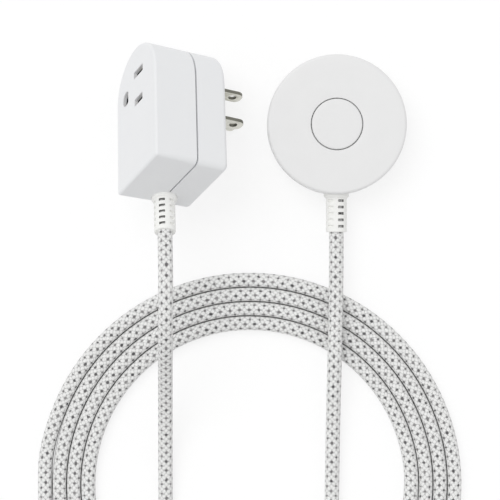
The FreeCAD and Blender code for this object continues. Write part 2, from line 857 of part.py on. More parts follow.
def puck_wires():
    """Two insulated wires from the end of the cord's jacket to the solder tabs."""
    radius = size("wire_radius")
    tab = value(STRIP_TOP) + radius
    jacket = value(JACKET_END)
    room = jacket - size("housing_width") / 2
    wires = []
    for label, side in (("line_wire", -1), ("load_wire", 1)):
        # round the housing's corner, and down on the tab
        corner = size("housing_length") / 2 + 2.5
        points = [
            Vector(side * 1.3, -jacket, size("parting_height")),
            Vector(side * 1.3, -jacket + 0.4 * room, size("parting_height")),
            Vector(side * 7.5, -jacket + 0.53 * room, tab + 2.7),
            Vector(side * corner, -size("housing_width") / 2, tab + 0.9),
            Vector(side * (corner - 0.7), -0.4, tab),
        ]
        wires.append(feature(label, tube(label, rounded_route(label, points), radius)))
    return wires


# The cord
def straight_cord(label, start, end):
    wire = Part.Wire(Part.LineSegment(start, end).toShape())
    return feature(label, tube(label, wire, size("cord_radius")))


def cord_lead(label, route):
    wire = rounded_route(label, [Vector(*point) for point in route])
    return feature(label, tube(label, wire, size("cord_radius")))


def cord_coil():
    """A flat spiral: upper half turns about the centre, lower half turns half a pitch aside.

    A quarter turn brings the tap's lead in from below, and each end runs straight for one diameter.
    """
    diameter = 2 * size("cord_radius")
    pitch = diameter + size("coil_gap")
    inner = size("coil_inner_radius")
    edges = []

    def bend(centre_x, radius, start_angle, sweep):
        points = []
        for share in (0, 0.5, 1):
            angle = math.radians(start_angle + share * sweep)
            way = Vector(math.cos(angle), math.sin(angle), 0)
            points.append(COIL_CENTRE + Vector(centre_x, 0, 0) + way * radius)
        edges.append(Part.Arc(*points).toShape())
        return points[-1]

    lead_radius = 50.0
    lead_x = inner - lead_radius
    begin = COIL_CENTRE + Vector(lead_x, -lead_radius, 0)
    edges.append(Part.LineSegment(begin - Vector(diameter, 0, 0), begin).toShape())
    bend(lead_x, lead_radius, 270, 90)
    for strand in range(COIL_STRANDS):
        radius = inner + strand * pitch
        end = bend(0, radius, 0, 90)
        end = bend(0, radius, 90, 90)
        if strand < COIL_STRANDS - 1:
            end = bend(pitch / 2, radius + pitch / 2, 180, 90)
            end = bend(pitch / 2, radius + pitch / 2, 270, 90)
    edges.append(Part.LineSegment(end, end - Vector(0, diameter, 0)).toShape())
    wire = Part.Wire(edges)
    print("cord_coil from", begin - Vector(diameter, 0, 0), "to", end - Vector(0, diameter, 0))
    print("cord_coil least gap %.2f mm" % least_gap(wire, size("cord_radius"), 60))
    return feature("cord_coil", tube("cord_coil", wire, size("cord_radius")))


# Tap shells, made upright: x to the right and y up as seen from the front, z out of the face
def arch_outline(sketch, inset):
    """Flat foot with round corners, upright sides and a three-centred arch, inset from the outside.

    The arch is a little taller than a half circle: its shoulders have the longer radius.
    """
    half = "(tap_width / 2 - (%s))" % inset
    foot = "(%s)" % inset
    corner = "(tap_foot_corner)"
    shoulder = "(tap_shoulder - (%s))" % inset
    rise = "(tap_arch - (%s))" % inset
    spring = "(tap_height - tap_arch)"
    spread = "(tap_width / 2 - tap_shoulder)"
    climb = "(tap_arch - tap_shoulder)"
    drop = "((%s * %s - %s * %s) / (2 * %s))" % (spread, spread, climb, climb, climb)
    crown = "(%s + %s)" % (rise, drop)
    a = value(half)
    f = value(foot)
    c = value(corner)
    s = value(shoulder)
    h = value(spring)
    w = value(spread)
    d = value(drop)
    r = value(crown)
    lean = math.atan2(abs(d), abs(w))
    turn = math.pi / 2
    arc = lambda x, y, radius, first, last: Part.ArcOfCircle(
        Part.Circle(Vector(x, y, 0), UP, radius), first, last
    )
    pieces = [
        Part.LineSegment(Vector(c - a, f, 0), Vector(a - c, f, 0)),
        arc(a - c, f + c, c, -turn, 0),
        Part.LineSegment(Vector(a, f + c, 0), Vector(a, h, 0)),
        arc(w, h, s, 0, lean),
        arc(0, h - d, r, lean, math.pi - lean),
        arc(-w, h, s, math.pi - lean, math.pi),
        Part.LineSegment(Vector(-a, h, 0), Vector(-a, f + c, 0)),
        arc(c - a, f + c, c, math.pi, 1.5 * math.pi),
    ]
    for piece in pieces:
        sketch.addGeometry(piece, False)
    # the outline runs anticlockwise, and every piece starts where the one before it ends
    for index in range(8):
        sketch.addConstraint(Sketcher.Constraint("Tangent", index, 2, (index + 1) % 8, 1))
    sketch.addConstraint(Sketcher.Constraint("Horizontal", 0))
    sketch.addConstraint(Sketcher.Constraint("Vertical", 2))
    sketch.addConstraint(Sketcher.Constraint("Vertical", 6))
    for index, words in ((1, corner), (7, corner), (3, shoulder), (5, shoulder), (4, crown)):
        place = sketch.addConstraint(Sketcher.Constraint("Radius", index, value(words)))
        sketch.setExpression("Constraints[%d]" % place, formula(words))
    for kind, index, point, words in (
        ("DistanceY", 0, 1, foot),
        ("DistanceX", 2, 1, half),
        ("DistanceX", 6, 1, "-" + half),
        ("DistanceX", 4, 3, "0"),
        ("DistanceY", 3, 3, spring),
    ):
        place = sketch.addConstraint(Sketcher.Constraint(kind, -1, 1, index, point, value(words)))
        sketch.setExpression("Constraints[%d]" % place, formula(words))


def tap_shell(label, low, length):
    """A solid slice of the tap between two depths."""
    body = new_body(label)
    sketch = new_sketch(body, "XY_Plane", low)
    arch_outline(sketch, "0")
    pad(body, sketch, length)
    return body


def at_tap_screws(label, radius, height, low):
    """A cylinder at each of the tap's two screws, at the foot and at the crown."""
    return [
        cylinder("%s_%s" % (label, name), radius, height, x, y, low) for name, x, y in TAP_SCREWS
    ]


def tap_front():
    body = tap_shell("tap_front_cover", "-tap_seam", "tap_seam")
    round_edges(body, "tap_front_edge", lambda edge: at_height(edge, 0))
    round_edges(body, "seam_edge", lambda edge: at_height(edge, -size("tap_seam")))
    hollow = new_sketch(body, "XY_Plane", "-tap_seam")
    arch_outline(hollow, "tap_wall")
    pocket(body, hollow, "tap_seam - tap_wall", True)
    slots = new_sketch(body, "XY_Plane", "0")
    upper = "pattern_y + blade_spacing / 2"
    lower = "pattern_y - blade_spacing / 2"
    draw_rectangle(slots, "outlet_x", upper, "neutral_slot", "slot_opening")
    draw_rectangle(slots, "outlet_x", lower, "hot_slot", "slot_opening")
    pocket(body, slots, "tap_wall")
    bosses = at_tap_screws("front_boss", "tap_boss_radius", "tap_seam - tap_wall + 0.2", "-tap_seam")
    holes = at_tap_screws("front_hole", "screw_radius + thread_gap", "9", "-tap_seam - 0.1")
    walls = join("tap_front_walls", [body] + bosses)
    ground = cylinder(
        "ground_hole", "ground_hole_radius", "2 * tap_wall", "outlet_x - ground_offset", "pattern_y",
        "-1.5 * tap_wall",
    )
    keep = box(
        "ground_hole_side", "ground_hole_radius + ground_hole_flat", "3 * ground_hole_radius",
        "2 * tap_wall", "outlet_x - ground_offset + (ground_hole_flat - ground_hole_radius) / 2",
        "pattern_y", "-1.5 * tap_wall",
    )
    shaped = doc.addObject("Part::Common", "ground_hole_shape")
    shaped.Base = ground
    shaped.Tool = keep
    seat = feature("tap_front_seat", relief_seat("tap"), TAP_RELIEF_LOCAL)
    body.Label = "tap_front_blank"
    cover = cut("tap_front_cover", walls, holes + [shaped, seat])
    cover.Placement = TAP
    return cover


def tap_rear():
    body = tap_shell("tap_rear_cover", "-tap_depth", "tap_depth - tap_seam")
    round_edges(body, "tap_back_edge", lambda edge: at_height(edge, -size("tap_depth")))
    round_edges(body, "seam_edge", lambda edge: at_height(edge, -size("tap_seam")))
    hollow = new_sketch(body, "XY_Plane", "-tap_seam")
    arch_outline(hollow, "tap_wall")
    pocket(body, hollow, "tap_depth - tap_seam - tap_wall")
    low = "-tap_depth + 0.1"
    bosses = at_tap_screws("rear_boss", "tap_boss_radius", "tap_depth - tap_seam - 0.1", low)
    holes = at_tap_screws("rear_hole", "screw_radius + fit_gap", "tap_depth", "-tap_depth - 1")
    sinks = at_tap_screws(
        "rear_sink", "screw_head_radius + fit_gap", "screw_head_depth + 0.1", "-tap_depth - 0.1"
    )
    walls = join("tap_rear_walls", [body] + bosses)
    openings = []
    for name, side in (("neutral", 1), ("hot", -1)):
        y = "pattern_y + %d * blade_spacing / 2" % side
        openings.append(box(
            name + "_blade_hole", "blade_width + 2 * bore_gap", "blade_thickness + 2 * bore_gap",
            "2 * tap_wall", "plug_x", y, "-tap_depth - 0.5 * tap_wall",
        ))
    openings.append(cylinder(
        "pin_hole", "pin_radius + bore_gap", "2 * tap_wall", "plug_x - ground_offset", "pattern_y",
        "-tap_depth - 0.5 * tap_wall",
    ))
    seat = feature("tap_rear_seat", relief_seat("tap"), TAP_RELIEF_LOCAL)
    body.Label = "tap_rear_blank"
    cover = cut("tap_rear_cover", walls, holes + sinks + openings + [seat])
    cover.Placement = TAP
    return cover


def blade(label, y, tongue=False):
    """A flat blade with a round nose, a hole, and shoulders inside the rear cover.

    The tongue is a narrower tail that reaches the back of the contact in front of the blade.
    """
    body = new_body(label + "_strip")
    sketch = new_sketch(body, "XZ_Plane", "-((%s) + blade_thickness / 2)" % y)
    left = "plug_x - blade_width / 2"
    right = "plug_x + blade_width / 2"
    nose = "-tap_depth - blade_length"
    inner = "-tap_seam - 1"
    shoulder_low = "-tap_depth + tap_wall"
    shoulder_high = "-tap_depth + tap_wall + blade_shoulder"
    corners = [
        (left, inner),
        (left, shoulder_high),
        (left + " - blade_shoulder", shoulder_high),
        (left + " - blade_shoulder", shoulder_low),
        (left, shoulder_low),
        (left, nose),
        (right, nose),
        (right, shoulder_low),
        (right + " + blade_shoulder", shoulder_low),
        (right + " + blade_shoulder", shoulder_high),
        (right, shoulder_high),
    ]
    if tongue:
        contact_back = "%s - contact_depth" % CONTACT_FRONT
        edge = right + " - blade_width * 0.2"
        corners += [(right, contact_back), (edge, contact_back), (edge, inner)]
    else:
        corners.append((right, inner))
    draw_polygon(sketch, corners)
    pad(body, sketch, "blade_thickness")
    tip = -size("tap_depth") - size("blade_length")
    nose_edge = lambda edge: (
        edge.BoundBox.YLength > size("blade_thickness") - 1e-4
        and edge.BoundBox.ZLength < 1e-4
        and abs(edge.BoundBox.ZMin - tip) < 1e-4
    )
    round_edges(body, "blade_width * 0.42", nose_edge)
    hole = cylinder(
        label + "_hole", "blade_hole_radius", "2 * blade_thickness", "plug_x",
        "(%s) - blade_thickness" % y, "-tap_depth - blade_hole_place", (0, 1, 0),
    )
    thing = cut(label, body, [hole])
    thing.Placement = TAP
    return thing


def ground_pin():
    x = "plug_x - ground_offset"
    length = "pin_length + tap_wall + 6"
    start = "-tap_depth - pin_length + pin_radius"
    shaft = cylinder("pin_shaft", "pin_radius", length + " - pin_radius", x, "pattern_y", start)
    nose = doc.addObject("Part::Sphere", "pin_nose")
    bind(nose, Radius="pin_radius")
    put(nose, x, "pattern_y", start)
    shoulder = cylinder(
        "pin_shoulder", "pin_radius + blade_shoulder * 0.5", "blade_shoulder", x, "pattern_y",
        "-tap_depth + tap_wall",
    )
    thing = join("ground_pin", [shaft, nose, shoulder])
    thing.Placement = TAP
    return thing


def contact_clip(label, x, y, mouth, tail=False):
    """A folded sheet: two leaves either side of the blade's way in, joined at the back."""
    tall = "(%s) + 2 * contact_sheet" % mouth
    back = "%s - contact_depth" % CONTACT_FRONT
    outer = box(label + "_outer", "contact_width", tall, "contact_depth", x, y, back)
    inner = box(
        label + "_inner", "contact_width + 1", mouth, "contact_depth", x, y, back + " + contact_sheet"
    )
    if not tail:
        thing = cut(label, outer, [inner])
        thing.Placement = TAP
        return thing
    folded = cut(label + "_folded", outer, [inner])
    # the tail lies against the side of the ground pin
    side = "plug_x - ground_offset + pin_radius + contact_sheet / 2"
    strip = box(label + "_tail", "contact_sheet", "3", "7.2", side, y, back + " - 7")
    thing = join(label, [folded, strip])
    thing.Placement = TAP
    return thing


def contact_carrier():
    """A moulded block behind the face, with an open pocket for each contact."""
    left = "(outlet_x - ground_offset - pin_radius - contact_sheet - 2 * carrier_wall)"
    right = "(outlet_x + contact_width / 2 + 2 * carrier_wall)"
    half = "(blade_spacing / 2 + contact_mouth / 2 + contact_sheet + 2 * carrier_wall)"
    depth = "contact_depth + 0.3 + carrier_wall"
    block = box(
        "carrier_block", "%s - %s" % (right, left), "2 * " + half, depth,
        "(%s + %s) / 2" % (right, left), "pattern_y", "-tap_wall - (%s)" % depth,
    )
    # the block follows the cover's round top
    room = new_body("carrier_room")
    sketch = new_sketch(room, "XY_Plane", "-tap_wall - (%s)" % depth)
    arch_outline(sketch, "tap_wall + fit_gap")
    pad(room, sketch, depth)
    rounded = doc.addObject("Part::Common", "carrier_rounded")
    rounded.Base = block
    rounded.Tool = room
    pockets = []
    for name, x, y, mouth, tail in (
        ("neutral", "outlet_x", "pattern_y + blade_spacing / 2", "contact_mouth", "contact_mouth"),
        ("hot", "outlet_x", "pattern_y - blade_spacing / 2", "contact_mouth", "contact_mouth"),
        ("ground", "outlet_x - ground_offset", "pattern_y", "2 * pin_radius + 0.1", "3.2"),
    ):
        pockets.append(box(
            name + "_pocket", "contact_width + 2 * fit_gap",
            "(%s) + 2 * contact_sheet + 2 * fit_gap" % mouth, "contact_depth + 1",
            x, y, "-tap_wall - 0.3 - contact_depth - fit_gap",
        ))
        pockets.append(box(
            name + "_tail_hole", "contact_width - 2", tail, "4 * carrier_wall",
            x, y, "-tap_wall - contact_depth - 3 * carrier_wall",
        ))
    thing = cut("contact_carrier", rounded, pockets)
    thing.Placement = TAP
    return thing


def tap_screws():
    screws = []
    z = "-tap_depth + screw_head_depth - screw_head_height"
    length = "tap_depth - tap_seam + 8 - screw_head_depth + screw_head_height"
    for name, x, y in TAP_SCREWS:
        screws.append(screw(
            "tap_screw_" + name, x, y, z, length, "screw_radius", "screw_head_radius",
            "screw_head_height",
        ))
    thing = group("tap_screws", screws)
    thing.Placement = TAP
    return thing


def tap_wires():
    """Two insulated wires from the jacket's end: one to the hot blade, one to the hot contact."""
    radius = size("wire_radius")
    x = -size("tap_relief_x")
    z = -size("tap_seam")
    jacket = size("tap_relief_seat") + size("neck_length") + size("inner_flange_thickness") + 2
    hot_y = size("pattern_y") - size("blade_spacing") / 2
    blade_face = hot_y - size("blade_thickness") / 2 - radius
    contact_low = size("pattern_y") - size("blade_spacing") / 2
    contact_back = value(CONTACT_FRONT) - size("contact_depth")
    line = [
        Vector(x, jacket, z - 1.3),
        Vector(x, jacket + 6, z - 1.3),
        Vector(x + 4, blade_face - 8, z - 3.5),
        Vector(size("plug_x") - 4, blade_face, z - 4.2),
        Vector(size("plug_x") + 2.4, blade_face, z - 4.2),
    ]
    load = [
        Vector(x, jacket, z + 1.3),
        Vector(x, jacket + 6, z + 1.3),
        Vector(x + 9, contact_low - 10, z + 1.5),
        Vector(size("outlet_x"), contact_low - 5, z + 0.3),
        Vector(size("outlet_x"), contact_low, z + 0.2),
        Vector(size("outlet_x"), contact_low, contact_back),
    ]
    return [
        feature(label, tube(label, rounded_route(label, points), radius), TAP)
        for label, points in (("tap_line_wire", line), ("tap_load_wire", load))
    ]


def tap_cord_end():
    """The cord inside the tap's strain relief, up to the end of its jacket."""
    mouth = Vector(*TAP_LEAD[0])
    inside = Vector(
        -size("tap_relief_x"),
        size("tap_relief_seat") + size("neck_length") + size("inner_flange_thickness") + 2,
        -size("tap_seam"),
    )
    return straight_cord("cord_end_in_tap", TAP.multVec(inside), mouth)


def switch_cord_end():
    mouth = Vector(*SWITCH_LEAD[-1])
    inside = Vector(0, -value(JACKET_END), size("parting_height"))
    return straight_cord("cord_end_in_switch", inside, mouth)


pieces = [
    puck_cover(),
    puck_base(),
    foot_pad(),
    case_screws(),
    button_cap(),
    slider(),
    contact_bridge(),
    return_spring(),
    latch_wire(),
    switch_housing(),
    switch_board(),
    terminal("line_terminal", -1),
    terminal("load_terminal", 1),
    cord_clamp(),
    clamp_screws(),
    *puck_wires(),
    strain_relief("switch_strain_relief", SWITCH_SLOT_PHASE, PUCK_RELIEF),
    switch_cord_end(),
    cord_lead("switch_lead", SWITCH_LEAD),
    cord_coil(),
    cord_lead("tap_lead", TAP_LEAD),
    tap_cord_end(),
    strain_relief("tap_strain_relief", TAP_SLOT_PHASE, TAP.multiply(TAP_RELIEF_LOCAL)),
    tap_front(),
    tap_rear(),
    contact_carrier(),
    blade("neutral_blade", "pattern_y + blade_spacing / 2", True),
    blade("hot_blade", "pattern_y - blade_spacing / 2"),
    ground_pin(),
    contact_clip("neutral_contact", "outlet_x", "pattern_y + blade_spacing / 2", "contact_mouth"),
    contact_clip("hot_contact", "outlet_x", "pattern_y - blade_spacing / 2", "contact_mouth"),
    contact_clip("ground_contact", "outlet_x - ground_offset", "pattern_y", "2 * pin_radius + 0.1", True),
    tap_screws(),
    *tap_wires(),
]

sheet.clear("D1")
doc.recompute()
for thing in doc.Objects:
    if "Invalid" in thing.State or "Error" in thing.State:
        raise RuntimeError("%s: %s" % (thing.Label, thing.State))
os.makedirs("parts", exist_ok=True)
for piece in pieces:
    shape = piece.Shape
    if shape.isNull() or not shape.isValid() or not shape.Solids:
        raise RuntimeError("%s: no valid solid" % piece.Label)
    shape.exportStep("parts/%s.step" % piece.Label)
lowest = {
    piece.Label: round(min(point.z for point in piece.Shape.tessellate(0.02)[0]), 2)
    for piece in pieces
    if piece.Shape.BoundBox.ZMin < 1
}
print(len(pieces), "pieces; nearest the table:", lowest)
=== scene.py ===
import math

import bmesh
import bpy
from mathutils import Euler, Matrix, Vector


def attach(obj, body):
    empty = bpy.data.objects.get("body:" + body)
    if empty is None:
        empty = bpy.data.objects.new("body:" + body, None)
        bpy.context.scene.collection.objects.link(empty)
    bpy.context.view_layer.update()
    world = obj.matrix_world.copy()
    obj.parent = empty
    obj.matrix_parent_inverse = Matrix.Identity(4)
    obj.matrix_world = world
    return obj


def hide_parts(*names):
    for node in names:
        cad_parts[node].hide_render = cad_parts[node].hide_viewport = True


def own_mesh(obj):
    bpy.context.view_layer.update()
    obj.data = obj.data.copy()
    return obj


# A tabletop push switch: a white puck with a round button, a plug-in tap block, and a braided cord.
# Lengths are written in millimetres and made metres by MM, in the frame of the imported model.
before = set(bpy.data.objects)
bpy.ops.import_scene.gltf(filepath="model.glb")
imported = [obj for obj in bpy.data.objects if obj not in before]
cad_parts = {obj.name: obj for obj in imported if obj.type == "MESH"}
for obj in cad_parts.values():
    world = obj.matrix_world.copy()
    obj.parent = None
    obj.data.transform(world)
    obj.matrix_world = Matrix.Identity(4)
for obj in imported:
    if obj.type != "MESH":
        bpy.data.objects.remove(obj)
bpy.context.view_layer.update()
MM = 0.001
TINY = 0.001  # closer than this to a plane counts as on it
MAIN_BODY = "switch_and_tap"

# Puck
PUCK_RADIUS = 28.2
PUCK_TOP = 17.0
PUCK_SHOULDER = 1.2
PUCK_UNDERSIDE = 0.6
PUCK_FOOT_ROUND = 4.0
PARTING_HEIGHT = 9.0
PARTING_GAP = 0.1
PARTING_ROUND = 0.25
COVER_WALL = 1.8
GUIDE_RING_RADII = (11.95, 13.25)
GUIDE_RING_DEPTH = 3.0
PAD_RADIUS = 23.0
PAD_THICKNESS = 1.2
PAD_EDGE = 0.3
PAD_GROOVES = (9.0, 16.0)
GROOVE_DEPTH = 0.4
BUTTON_RADIUS = 10.2
BUTTON_GAP = 0.35
BUTTON_TOP = 17.5
BUTTON_WALL = 1.6
BUTTON_EDGE = 0.6
HOLE_EDGE = 0.3
FLANGE_WIDTH = 1.4
STEM_RADII = (2.05, 3.1)
STEM_END = 12.3
SPRING_SEAT = 10.0
SPRING_RADIUS = 6.6
SPRING_WIRE = 0.3
SPRING_TURNS = 4.5
SPRING_STEPS = 216
SPRING_CLEARANCE = 0.02

# Strain reliefs, measured from the seat of the collar: the flange and the neck lie inside the case,
# the collar and the sleeve outside it
RELIEF_FLANGE_RADIUS = 4.6
RELIEF_FLANGE_TOP = 2.9
NECK_RADIUS = 3.9
NECK_LENGTH = 1.6
COLLAR_RADIUS = 5.1
COLLAR_ROUND = 0.5
SLEEVE_RADIUS = 4.25
SLEEVE_ROUND = 0.4
RELIEF_LENGTH = 16.0
SLOT_ROWS = 5
SLOT_COLUMNS = 6
FIRST_SLOT = 3.3
SLOT_PITCH = 2.6
SLOT_WIDTH = 2.5
SLOT_HEIGHT = 1.1
SLOT_ROUND = 0.15
DEEP_SLOT = 1.5
SHALLOW_SLOT = 0.8
CORD_RADIUS = 2.92

# Tap block
TAP_WIDTH = 37.0
TAP_HEIGHT = 58.0
TAP_DEPTH = 31.0
TAP_SEAM = 17.8
TAP_WALL = 2.2
TAP_ARCH = 18.95  # from the top down to where the straight sides begin
TAP_SHOULDER = 19.7
FOOT_CORNER = 2.6  # of the foot's corners at the parting line, and less at the face
FACE_CORNER = 1.2
FACE_EDGE = 1.0
BACK_EDGE = 2.0
SEAM_GAP = 0.6
SEAM_EDGE = 0.25
REBATE_INSET = 1.6
LIP_INSET = 1.75
TAP_RELIEF_X = -12.8
TAP_RELIEF_Y = 0.6
PATTERN_Y = 39.3
OUTLET_X = 2.4
NEUTRAL_SLOT = 8.7
HOT_SLOT = 7.7
SLOT_OPENING = 3.0
GROUND_HOLE_RADIUS = 3.1
GROUND_HOLE_FLAT = 45.3  # degrees from the slots' side to where the flat begins
MOUTH_FLARE = 0.8
MOUTH_DEPTH = 0.2
OUTLET_RECESS = (24, 23, 1.1)
PLUG_X = 0.0
LINE_SPACING = 12.7
UPPER_LINE = PATTERN_Y + LINE_SPACING / 2
LOWER_LINE = PATTERN_Y - LINE_SPACING / 2
GROUND_OFFSET = 11.9
BLADE_WIDTH = 6.35
BLADE_THICKNESS = 1.52
BLADE_LENGTH = 15.9
BLADE_CORNER = 2.6
BLADE_HOLE_RADIUS = 1.6
BLADE_HOLE_AT = 11.9
PIN_RADIUS = 2.4
PIN_LENGTH = 19.0
PIN_ROOT = -24.0
TAP_SCREWS = ((12.4, 7.0), (0, 52.4))
SCREW_SINK_RADIUS = 2.32
SCREW_SINK_LENGTH = 4.0

# The tap lies tilted on the tip of its ground pin; inside this frame it stands upright with its
# foot at y = 0 and its face at z = 0.
TAP_ANGLES = [math.radians(angle) for angle in (-47.155, -52.619, 42.605)]
TAP_TURN = Euler(TAP_ANGLES, "XYZ").to_matrix().to_4x4()
TAP_MOUTH = Vector((-68.57, -43.89, 38.34))
SLEEVE_END = Vector((TAP_RELIEF_X, TAP_RELIEF_Y - RELIEF_LENGTH, -TAP_SEAM))
TAP = Matrix.Translation((TAP_MOUTH - TAP_TURN @ SLEEVE_END) * MM) @ TAP_TURN

# where the collars of the two strain reliefs sit: on the tap's foot, and on the puck's rim
TAP_SEAT = (TAP_RELIEF_X, TAP_RELIEF_Y, -TAP_SEAM)
PUCK_SEAT_Y = -27.5
PUCK_SEAT = (0, PUCK_SEAT_Y, PARTING_HEIGHT)


# Modelling helpers
def pick(piece):
    """Select one piece alone and make it the active one."""
    bpy.ops.object.select_all(action="DESELECT")
    piece.select_set(True)
    bpy.context.view_layer.objects.active = piece


def edit(piece, action="SELECT"):
    """Open one piece in edit mode with all of it, or none of it, selected."""
    pick(piece)
    bpy.ops.object.mode_set(mode="EDIT")
    bpy.ops.mesh.select_all(action=action)


def leave():
    bpy.ops.object.mode_set(mode="OBJECT")


def take_new(name):
    """Name the primitive that was just added, and move its place into its mesh."""
    piece = bpy.context.object
    piece.name = name
    bpy.ops.object.transform_apply(location=True, rotation=True, scale=True)
    return piece


def draw(name, points):
    """A chain of edges through points in millimetres, extruded from one vertex to the next."""
    bpy.ops.object.select_all(action="DESELECT")
    bpy.ops.mesh.primitive_plane_add(size=MM, location=Vector(points[0]) * MM)
    piece = take_new(name)
    edit(piece)
    bpy.ops.mesh.merge(type="CENTER")
    for before, after in zip(points, points[1:]):
        step = (Vector(after) - Vector(before)) * MM
        bpy.ops.mesh.extrude_vertices_move(TRANSFORM_OT_translate={"value": step})
    leave()
    return piece


def arc(x, y, radius, start, end, steps):
    """Points on an arc between two angles in degrees."""
    angles = [math.radians(start + (end - start) * step / steps) for step in range(steps + 1)]
    return [(x + radius * math.cos(angle), y + radius * math.sin(angle)) for angle in angles]


def lathe(name, profile, steps=128):
    """Spin a profile of radius and height round the vertical axis."""
    piece = draw(name, [(radius, 0, height) for radius, height in profile])
    edit(piece)
    bpy.ops.mesh.spin(steps=steps, angle=2 * math.pi, center=(0, 0, 0), axis=(0, 0, 1))
    bpy.ops.mesh.select_all(action="SELECT")
    bpy.ops.mesh.remove_doubles(threshold=2 * TINY * MM)
    bpy.ops.mesh.normals_make_consistent(inside=False)
    leave()
    return piece


def prism(name, outline, low, high, far_outline=None):
    """Fill a closed outline and extrude it between two heights, perhaps to another outline."""
    piece = draw(name, [(x, y, low) for x, y in outline])
    edit(piece)
    bpy.ops.mesh.edge_face_add()
    bpy.ops.mesh.extrude_region_move(TRANSFORM_OT_translate={"value": (0, 0, (high - low) * MM)})
    bpy.ops.mesh.select_all(action="SELECT")
    bpy.ops.mesh.normals_make_consistent(inside=False)
    leave()
    if far_outline:
        ends = [(Vector(near), Vector(far)) for near, far in zip(outline, far_outline)]
        for corner in piece.data.vertices:
            if abs(corner.co.z - high * MM) < TINY * MM:
                here = corner.co.xy / MM
                corner.co.xy = min(ends, key=lambda end: (end[0] - here).length)[1] * MM
    return piece


def block(name, size, centre, turn=None):
    """A cutter block by its three sides and its centre, perhaps turned about the origin."""
    bpy.ops.object.select_all(action="DESELECT")
    bpy.ops.mesh.primitive_cube_add(size=1, location=Vector(centre) * MM)
    bpy.context.object.scale = Vector(size) * MM
    piece = take_new(name)
    if turn:
        piece.data.transform(turn)
    return piece


def rod(name, radius, length, centre, turn=(0, 0, 0)):
    """A cutter cylinder by its middle, upright unless it is turned."""
    bpy.ops.object.select_all(action="DESELECT")
    bpy.ops.mesh.primitive_cylinder_add(
        vertices=64, radius=radius * MM, depth=length * MM, location=Vector(centre) * MM,
        rotation=turn,
    )
    return take_new(name)


def apply_modifier(piece, kind, **settings):
    pick(piece)
    modifier = piece.modifiers.new(kind.lower(), kind)
    for setting, value in settings.items():
        setattr(modifier, setting, value)
    bpy.ops.object.modifier_apply(modifier=modifier.name)


def carve(piece, *cutters, operation="DIFFERENCE"):
    """Cut the cutters out of a piece, or add them to it, and throw them away."""
    for cutter in cutters:
        apply_modifier(piece, "BOOLEAN", object=cutter, operation=operation, solver="EXACT")
        bpy.data.objects.remove(cutter)


def bevel_at(piece, height, width, segments):
    """Bevel the edges that lie at one height."""
    edit(piece, "DESELECT")
    bpy.ops.mesh.select_mode(type="EDGE")
    shape = bmesh.from_edit_mesh(piece.data)
    for edge in shape.edges:
        edge.select_set(all(abs(corner.co.z / MM - height) < TINY for corner in edge.verts))
    bmesh.update_edit_mesh(piece.data)
    bpy.ops.mesh.bevel(offset=width * MM, segments=segments, profile=0.5, affect="EDGES")
    bpy.ops.mesh.select_mode(type="VERT")
    leave()


def settle(
    piece, material, replaced, place=None, body=MAIN_BODY, angle=32, accent=None, flat=False,
):
    """Dress a finished piece, put it in place, smooth it, and hang it on its body.

    The accent is a second material and the test that picks its faces. Large flat faces between
    fillets are kept flat by weighing the normals.
    """
    piece.data.materials.clear()
    piece.data.materials.append(material)
    if accent:
        accent_material, picked = accent
        piece.data.materials.append(accent_material)
        for face in piece.data.polygons:
            face.material_index = int(picked(face))
    if place:
        piece.data.transform(place)
    pick(piece)
    bpy.ops.object.shade_smooth_by_angle(angle=math.radians(angle))
    if flat:
        apply_modifier(piece, "WEIGHTED_NORMAL", keep_sharp=True)
    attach(piece, body)
    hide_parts(*replaced)
    return piece


# Materials
MIX_A, MIX_B, MIXED = 6, 7, 2  # a Mix node's sockets for colours: its two inputs and its output
CLOUD_SIZE = 9.0
PATCH_SIZE = 3.0
GRAIN_DEPTH = 0.02


def colour(code):
    """A linear colour from an sRGB hex code."""
    parts = [int(code[place:place + 2], 16) / 255 for place in (0, 2, 4)]
    linear = [
        part / 12.92 if part <= 0.04045 else ((part + 0.055) / 1.055) ** 2.4 for part in parts
    ]
    return (*linear, 1)


def add(tree, kind, inputs=None, output=0, **settings):
    """Add a node with its settings; inputs are numbers, colours or other nodes' outputs."""
    node = tree.nodes.new("ShaderNode" + kind)
    for setting, value in settings.items():
        setattr(node, setting, value)
    for name, value in (inputs or {}).items():
        if isinstance(value, bpy.types.NodeSocket):
            tree.links.new(value, node.inputs[name])
        else:
            node.inputs[name].default_value = value
    return node.outputs[output] if node.outputs else node


def new_material(name):
    """A material with an empty node tree."""
    material = bpy.data.materials.new(name)
    material.use_nodes = True
    material.node_tree.nodes.clear()
    return material, material.node_tree


def moulded_plastic(name, shade, cloud, roughness, grain=0.35, bump=0.12):
    """Injection-moulded plastic: an even colour with faint clouds and a fine spark-eroded grain.

    The grain of the mould is finer than a pixel, so it is drawn at the size given in millimetres.
    """
    material, tree = new_material(name)
    place = add(tree, "TexCoord", output="Object")
    clouds = add(tree, "TexNoise", {
        "Vector": place, "Scale": 1 / (CLOUD_SIZE * MM), "Detail": 3.0, "Roughness": 0.55,
    })
    tint = add(
        tree, "Mix", {"Factor": clouds, MIX_A: colour(shade), MIX_B: colour(cloud)},
        output=MIXED, data_type="RGBA",
    )
    pits = add(tree, "TexNoise", {
        "Vector": place, "Scale": 1 / (grain * MM), "Detail": 2.0, "Roughness": 0.6,
    })
    gloss = add(tree, "MapRange", {
        "Value": pits, "To Min": roughness - 0.06, "To Max": roughness + 0.08,
    })
    normal = add(tree, "Bump", {"Height": pits, "Strength": bump, "Distance": GRAIN_DEPTH * MM})
    surface = add(tree, "BsdfPrincipled", {
        "Base Color": tint, "Roughness": gloss, "Normal": normal, "IOR": 1.53,
    })
    add(tree, "OutputMaterial", {"Surface": surface})
    return material


